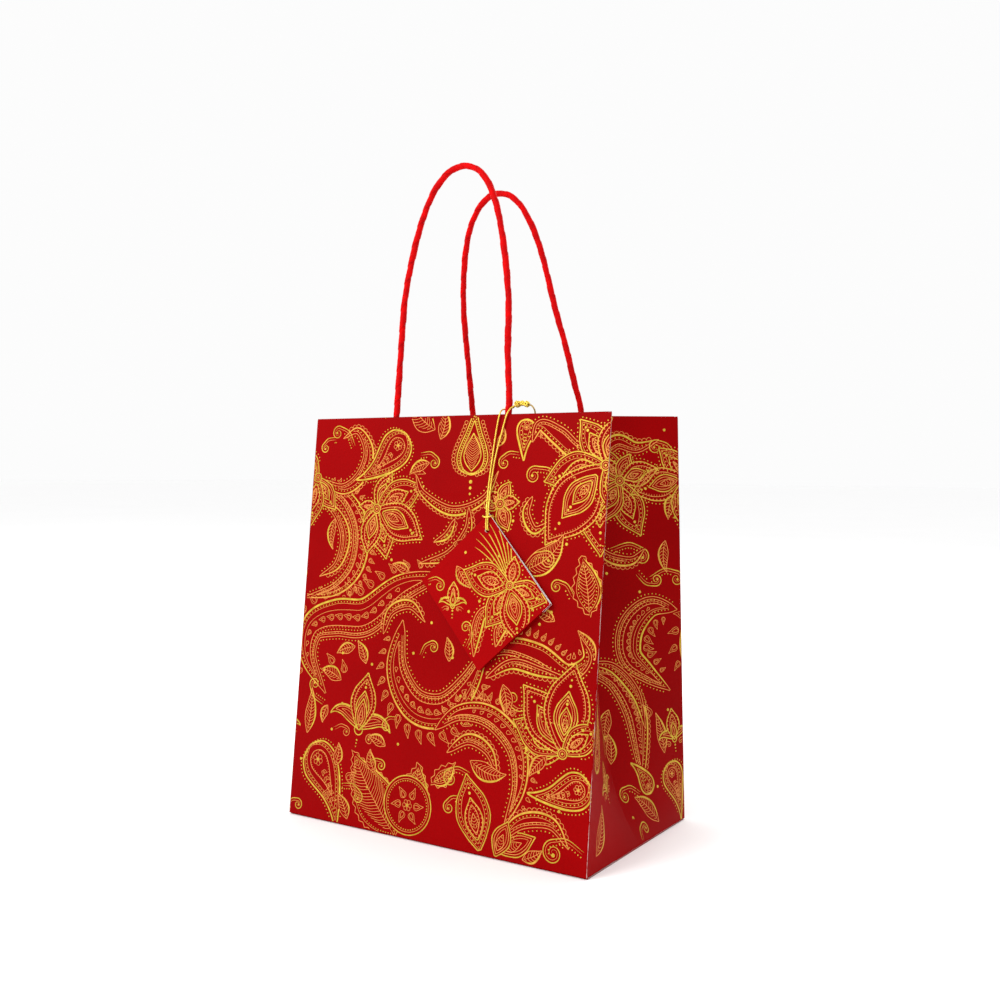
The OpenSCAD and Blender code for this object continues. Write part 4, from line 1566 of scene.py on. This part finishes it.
def hem_layout():
    """The print past the mouth, on the side that is turned in."""
    return [
        (boteh(34, 0.25, 60), -72, 218, -20),
        (lotus((18, 24, 26, 22), (75, 35, -15, -60), 0.28), -28, 218),
        plume([(4, 216), (16, 230), (34, 234), (48, 226), (52, 214)], 6.0),
        (tulip(14), 74, 222, 0),
        (boteh(28, 0.26, 60), 106, 216, -10),
        (curl(5, 1.3, 14), 130, 228, 0),
        (lotus((14, 18, 20, 16), (70, 25, -20, -65), 0.28), 152, 220),
        (leaf(22, 0.22, 50), 184, 216, 10),
        loose((-50, 222), (-8, 240), (26, 218), (60, 244), (92, 240), (120, 244), (170, 240)),
    ]


def tag_layout():
    """The print on a leaf of the tag, in millimetres down the fold and across."""
    return [
        (fan(33, 8, 44, 25), 12, 35, 158),
        band([(24, 37), (33, 36), (41, 41), (49, 49)], 3.0),
        band([(20, 50), (28, 48), (36, 53)], 3.0),
        (leaf(14, 0.22, 30), 30, 8, -10),
        (tulip(11), 44, 22, 139),
        (curl(3.2, 1.3, 8), 44, 9, 120),
        (lotus((14, 22, 24, 28, 28), (127, 27, -69, -24, -141), 0.29, (1, 0, 0), 2.0), 12, 35),
        (curl(3.2, 1.3, 10), 44, 35, 60, True),
        loose((8, 20), (38, 30), (9, 52), (30, 30), (47, 15), (22, 6)),
    ]


def draw(*layouts):
    """What is seen of the rows of layouts, each drawn over the ones before it."""
    art = Art()
    for row in sum(layouts, []):
        art.put(*(row if isinstance(row, tuple) else (row,)))
    return art.seen()


# How far a printed line may be off its curve, and the most steps of it in one go
SLACK, LONGEST = 0.035, 12


def thinned(points, width):
    """A stroke with the points left out that its line doesn't need."""
    keep = np.zeros(len(points), bool)
    keep[[0, -1]] = True
    todo = [(0, len(points) - 1)]
    while todo:
        a, b = todo.pop()
        if b - a < 2:
            continue
        chord = points[b] - points[a]
        away = points[a + 1:b] - points[a]
        size = np.hypot(*chord)
        if size < 1e-6:
            off = np.hypot(away[:, 0], away[:, 1])
        else:
            off = np.abs(chord[0] * away[:, 1] - chord[1] * away[:, 0]) / size
        k = int(off.argmax())
        if off[k] > SLACK or b - a > LONGEST:
            m = a + 1 + k if off[k] > SLACK else (a + b) // 2
            keep[m] = True
            todo += [(a, m), (m, b)]
    return points[keep], width[keep]


# How far the ink starts under its surface, the least it stands proud, and the small
# step by which strokes that cross differ
INK_UNDER, INK_OUT, INK_STEP = -0.02, 0.022, 0.0009
HEAVY_FROM = 0.4


def ink_height(number):
    """Strokes next to each other in drawing order stand at different heights."""
    return INK_OUT + INK_STEP * (number * 7 % 17)


class Ink:
    """Collects strokes and dots as thin slabs on one surface, point by point."""

    def __init__(self):
        self.flat, self.out, self.faces, self.kinds = [], [], [], []
        self.count = 0

    def add(self, flat, out, faces, kind):
        """Points on the sheet with their heights off it, and faces of kind 0 or 1."""
        self.flat.append(flat)
        self.out.append(out)
        self.faces += [tuple(self.count + v for v in f) for f in faces]
        self.kinds += [kind] * len(faces)
        self.count += len(flat)

    def stroke(self, points, width, lift):
        """A flat ribbon with sides and ends. Its underside is in the sheet."""
        points, width = thinned(points, width)
        n = len(points)
        side = sideways(points) * width[:, None] / 2
        flat = np.vstack([points + side, points - side, points + side, points - side])
        out = np.repeat([lift, INK_UNDER], 2 * n)
        faces = []
        for i in range(n - 1):
            # Left and right points on top, then at the bottom
            tl, tr, bl, br = i, n + i, 2 * n + i, 3 * n + i
            faces += [(tr, tr + 1, tl + 1, tl), (tl, tl + 1, bl + 1, bl),
                      (tr + 1, tr, br, br + 1), (bl, bl + 1, br + 1, br)]
        last = n - 1
        faces += [(0, 2 * n, 3 * n, n), (last, n + last, 3 * n + last, 2 * n + last)]
        self.add(flat, out, faces, 0 if width.max() > HEAVY_FROM else 1)

    def dot(self, x, y, r, lift):
        sides = 6 if r < 0.6 else 9
        ring = arc(r, 0, 360, (x, y), sides + 1)[:-1]
        flat = np.vstack([ring, ring])
        out = np.repeat([lift, INK_UNDER], sides)
        faces = [tuple(range(sides))]
        faces += [(k, k + sides, (k + 1) % sides + sides, (k + 1) % sides) for k in range(sides)]
        self.add(flat, out, faces, 0)

    def pieces(self, name, place):
        """One piece for the heavy lines and dots and one for the fine lines."""
        flat = np.vstack(self.flat)
        verts = place(flat[:, 0], flat[:, 1], np.concatenate(self.out))
        made = []
        for kind, (word, material) in enumerate((("lines", GOLD), ("fine_lines", FINE_GOLD))):
            faces = [f for f, k in zip(self.faces, self.kinds) if k == kind]
            used = np.unique(np.concatenate(faces))
            number = np.full(len(verts), -1)
            number[used] = np.arange(len(used))
            faces = [tuple(number[list(f)].tolist()) for f in faces]
            made.append(piece(f"{name}_{word}", verts[used], faces, [material], flat=True))
        return made


def ink_strokes(ink, drawn, inside, shift=(0.0, 0.0)):
    """Adds to ink the parts of a drawing that are inside, each a hair off the last."""
    strokes, dots = drawn
    number = 0
    for points, width in strokes:
        moved = points + shift
        for run, run_width in runs_of(moved, width, inside(moved)):
            number += 1
            ink.stroke(run, run_width, ink_height(number))
    dots = np.array(dots) + (*shift, 0.0)
    for x, y, r in dots[inside(dots[:, :2])]:
        number += 1
        ink.dot(x, y, r, ink_height(number))


def print_wall(k, art):
    """The part of the print that is on one wall and on its hem."""
    start, width = STARTS[k], FULL[k]
    low, high = WALL_FROM + 0.3, PANEL_H + HEM_H - 1.5
    corner = 2.3 if k in PANELS else 2.9

    def inside(p):
        u, s = p[:, 0] - start, p[:, 1]
        free = (s < PANEL_H - 2.2) | ((u > corner) & (u < width - corner))
        return (u >= 0) & (u <= width) & (s >= low) & (s <= high) & free

    ink = Ink()
    for n in range(-1, 3):
        ink_strokes(ink, art, inside, (n * REPEAT, 0.0))

    def place(w, s, out):
        share = wall_length(k, np.minimum(s, PANEL_H) / PANEL_H) / width
        return sheet_point(k, (w - start) * share, s, out)

    return ink.pieces(WALLS[k] + "_print", place)


sheet_art = draw(front_layout(), gusset_layout(), hem_layout())
for k in range(6):
    for printed in print_wall(k, sheet_art):
        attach(printed, "bag")


def print_leaf(name, cover, art):
    """The print on the outer side of a leaf of the tag."""

    def inside(p):
        a, b = p[:, 0], p[:, 1]
        clear = np.hypot(a - HOLE_IN, b - HOLE_IN) > HOLE_R + 0.5
        return (a > 0.5) & (a < TAG_FOLD - 0.5) & (b > 0.1) & (b < TAG_ACROSS - 0.5) & clear

    ink = Ink()
    ink_strokes(ink, art, inside)
    level = (lambda out: CARD + out) if cover else (lambda out: -out)
    made = ink.pieces(name, lambda a, b, out: leaf_place(cover, a, b, level(out)))
    if not cover:
        for printed in made:
            printed.data.flip_normals()
    return made


tag_art = draw(tag_layout())
for printed in print_leaf("tag_back_print", False, tag_art):
    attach(printed, "tag")
for printed in print_leaf("tag_cover_print", True, tag_art):
    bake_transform(printed)


# ---------------------------------------------------------------- floor, light, camera
def make_floor():
    bpy.ops.mesh.primitive_grid_add(x_subdivisions=2, y_subdivisions=2, size=30)
    floor = bpy.context.object
    floor.name = "floor"
    m = Shader("floor_pale")
    tone = m.noise(3.0, 2.0)
    m.set(Base_Color=m.ramp(tone, (0.3, (0.985, 0.985, 0.985)), (0.7, (0.995, 0.995, 0.995))))
    m.set(Roughness=0.9)
    floor.data.materials.append(m.material)


def make_light(name, place, aim, size, power):
    light = bpy.data.lights.new(name, "AREA")
    light.shape = "DISK"
    light.size = size
    light.energy = power
    obj = bpy.data.objects.new(name, light)
    bpy.context.scene.collection.objects.link(obj)
    obj.location = place
    obj.rotation_mode = "QUATERNION"
    obj.rotation_quaternion = (Vector(aim) - Vector(place)).to_track_quat("-Z", "Y")


def make_world():
    world = bpy.data.worlds.new("studio")
    world.use_nodes = True
    back = world.node_tree.nodes["Background"]
    back.inputs[0].default_value = (0.975, 0.975, 0.975, 1)
    back.inputs[1].default_value = 1.0
    bpy.context.scene.world = world


CAMERA_AT = (0.330, -0.5005, 0.183)
CAMERA_YAW, CAMERA_PITCH, CAMERA_ROLL = 32.77, 1.45, 0.3
LENS = 41.0


def make_camera():
    data = bpy.data.cameras.new("camera")
    data.lens = LENS
    data.sensor_width = 36.0
    data.clip_start, data.clip_end = 0.01, 60.0
    obj = bpy.data.objects.new("camera", data)
    bpy.context.scene.collection.objects.link(obj)
    yaw, pitch = math.radians(CAMERA_YAW), math.radians(CAMERA_PITCH)
    level = math.cos(pitch)
    ahead = Vector((-math.sin(yaw) * level, math.cos(yaw) * level, -math.sin(pitch)))
    turn = ahead.to_track_quat("-Z", "Y").to_matrix().to_4x4()
    roll = Matrix.Rotation(math.radians(CAMERA_ROLL), 4, "Z")
    obj.matrix_world = Matrix.Translation(CAMERA_AT) @ turn @ roll
    bpy.context.scene.camera = obj


make_floor()
make_world()
make_light("key", (-0.7, -1.5, 1.2), (0, 0, 0.13), 1.1, 24)
make_light("fill", (1.5, -0.5, 0.8), (0, 0, 0.13), 1.0, 0.4)
make_light("rim", (0.2, 1.4, 1.3), (0, 0, 0.2), 0.9, 12)
make_camera()
bpy.context.scene.view_settings.view_transform = "Standard"
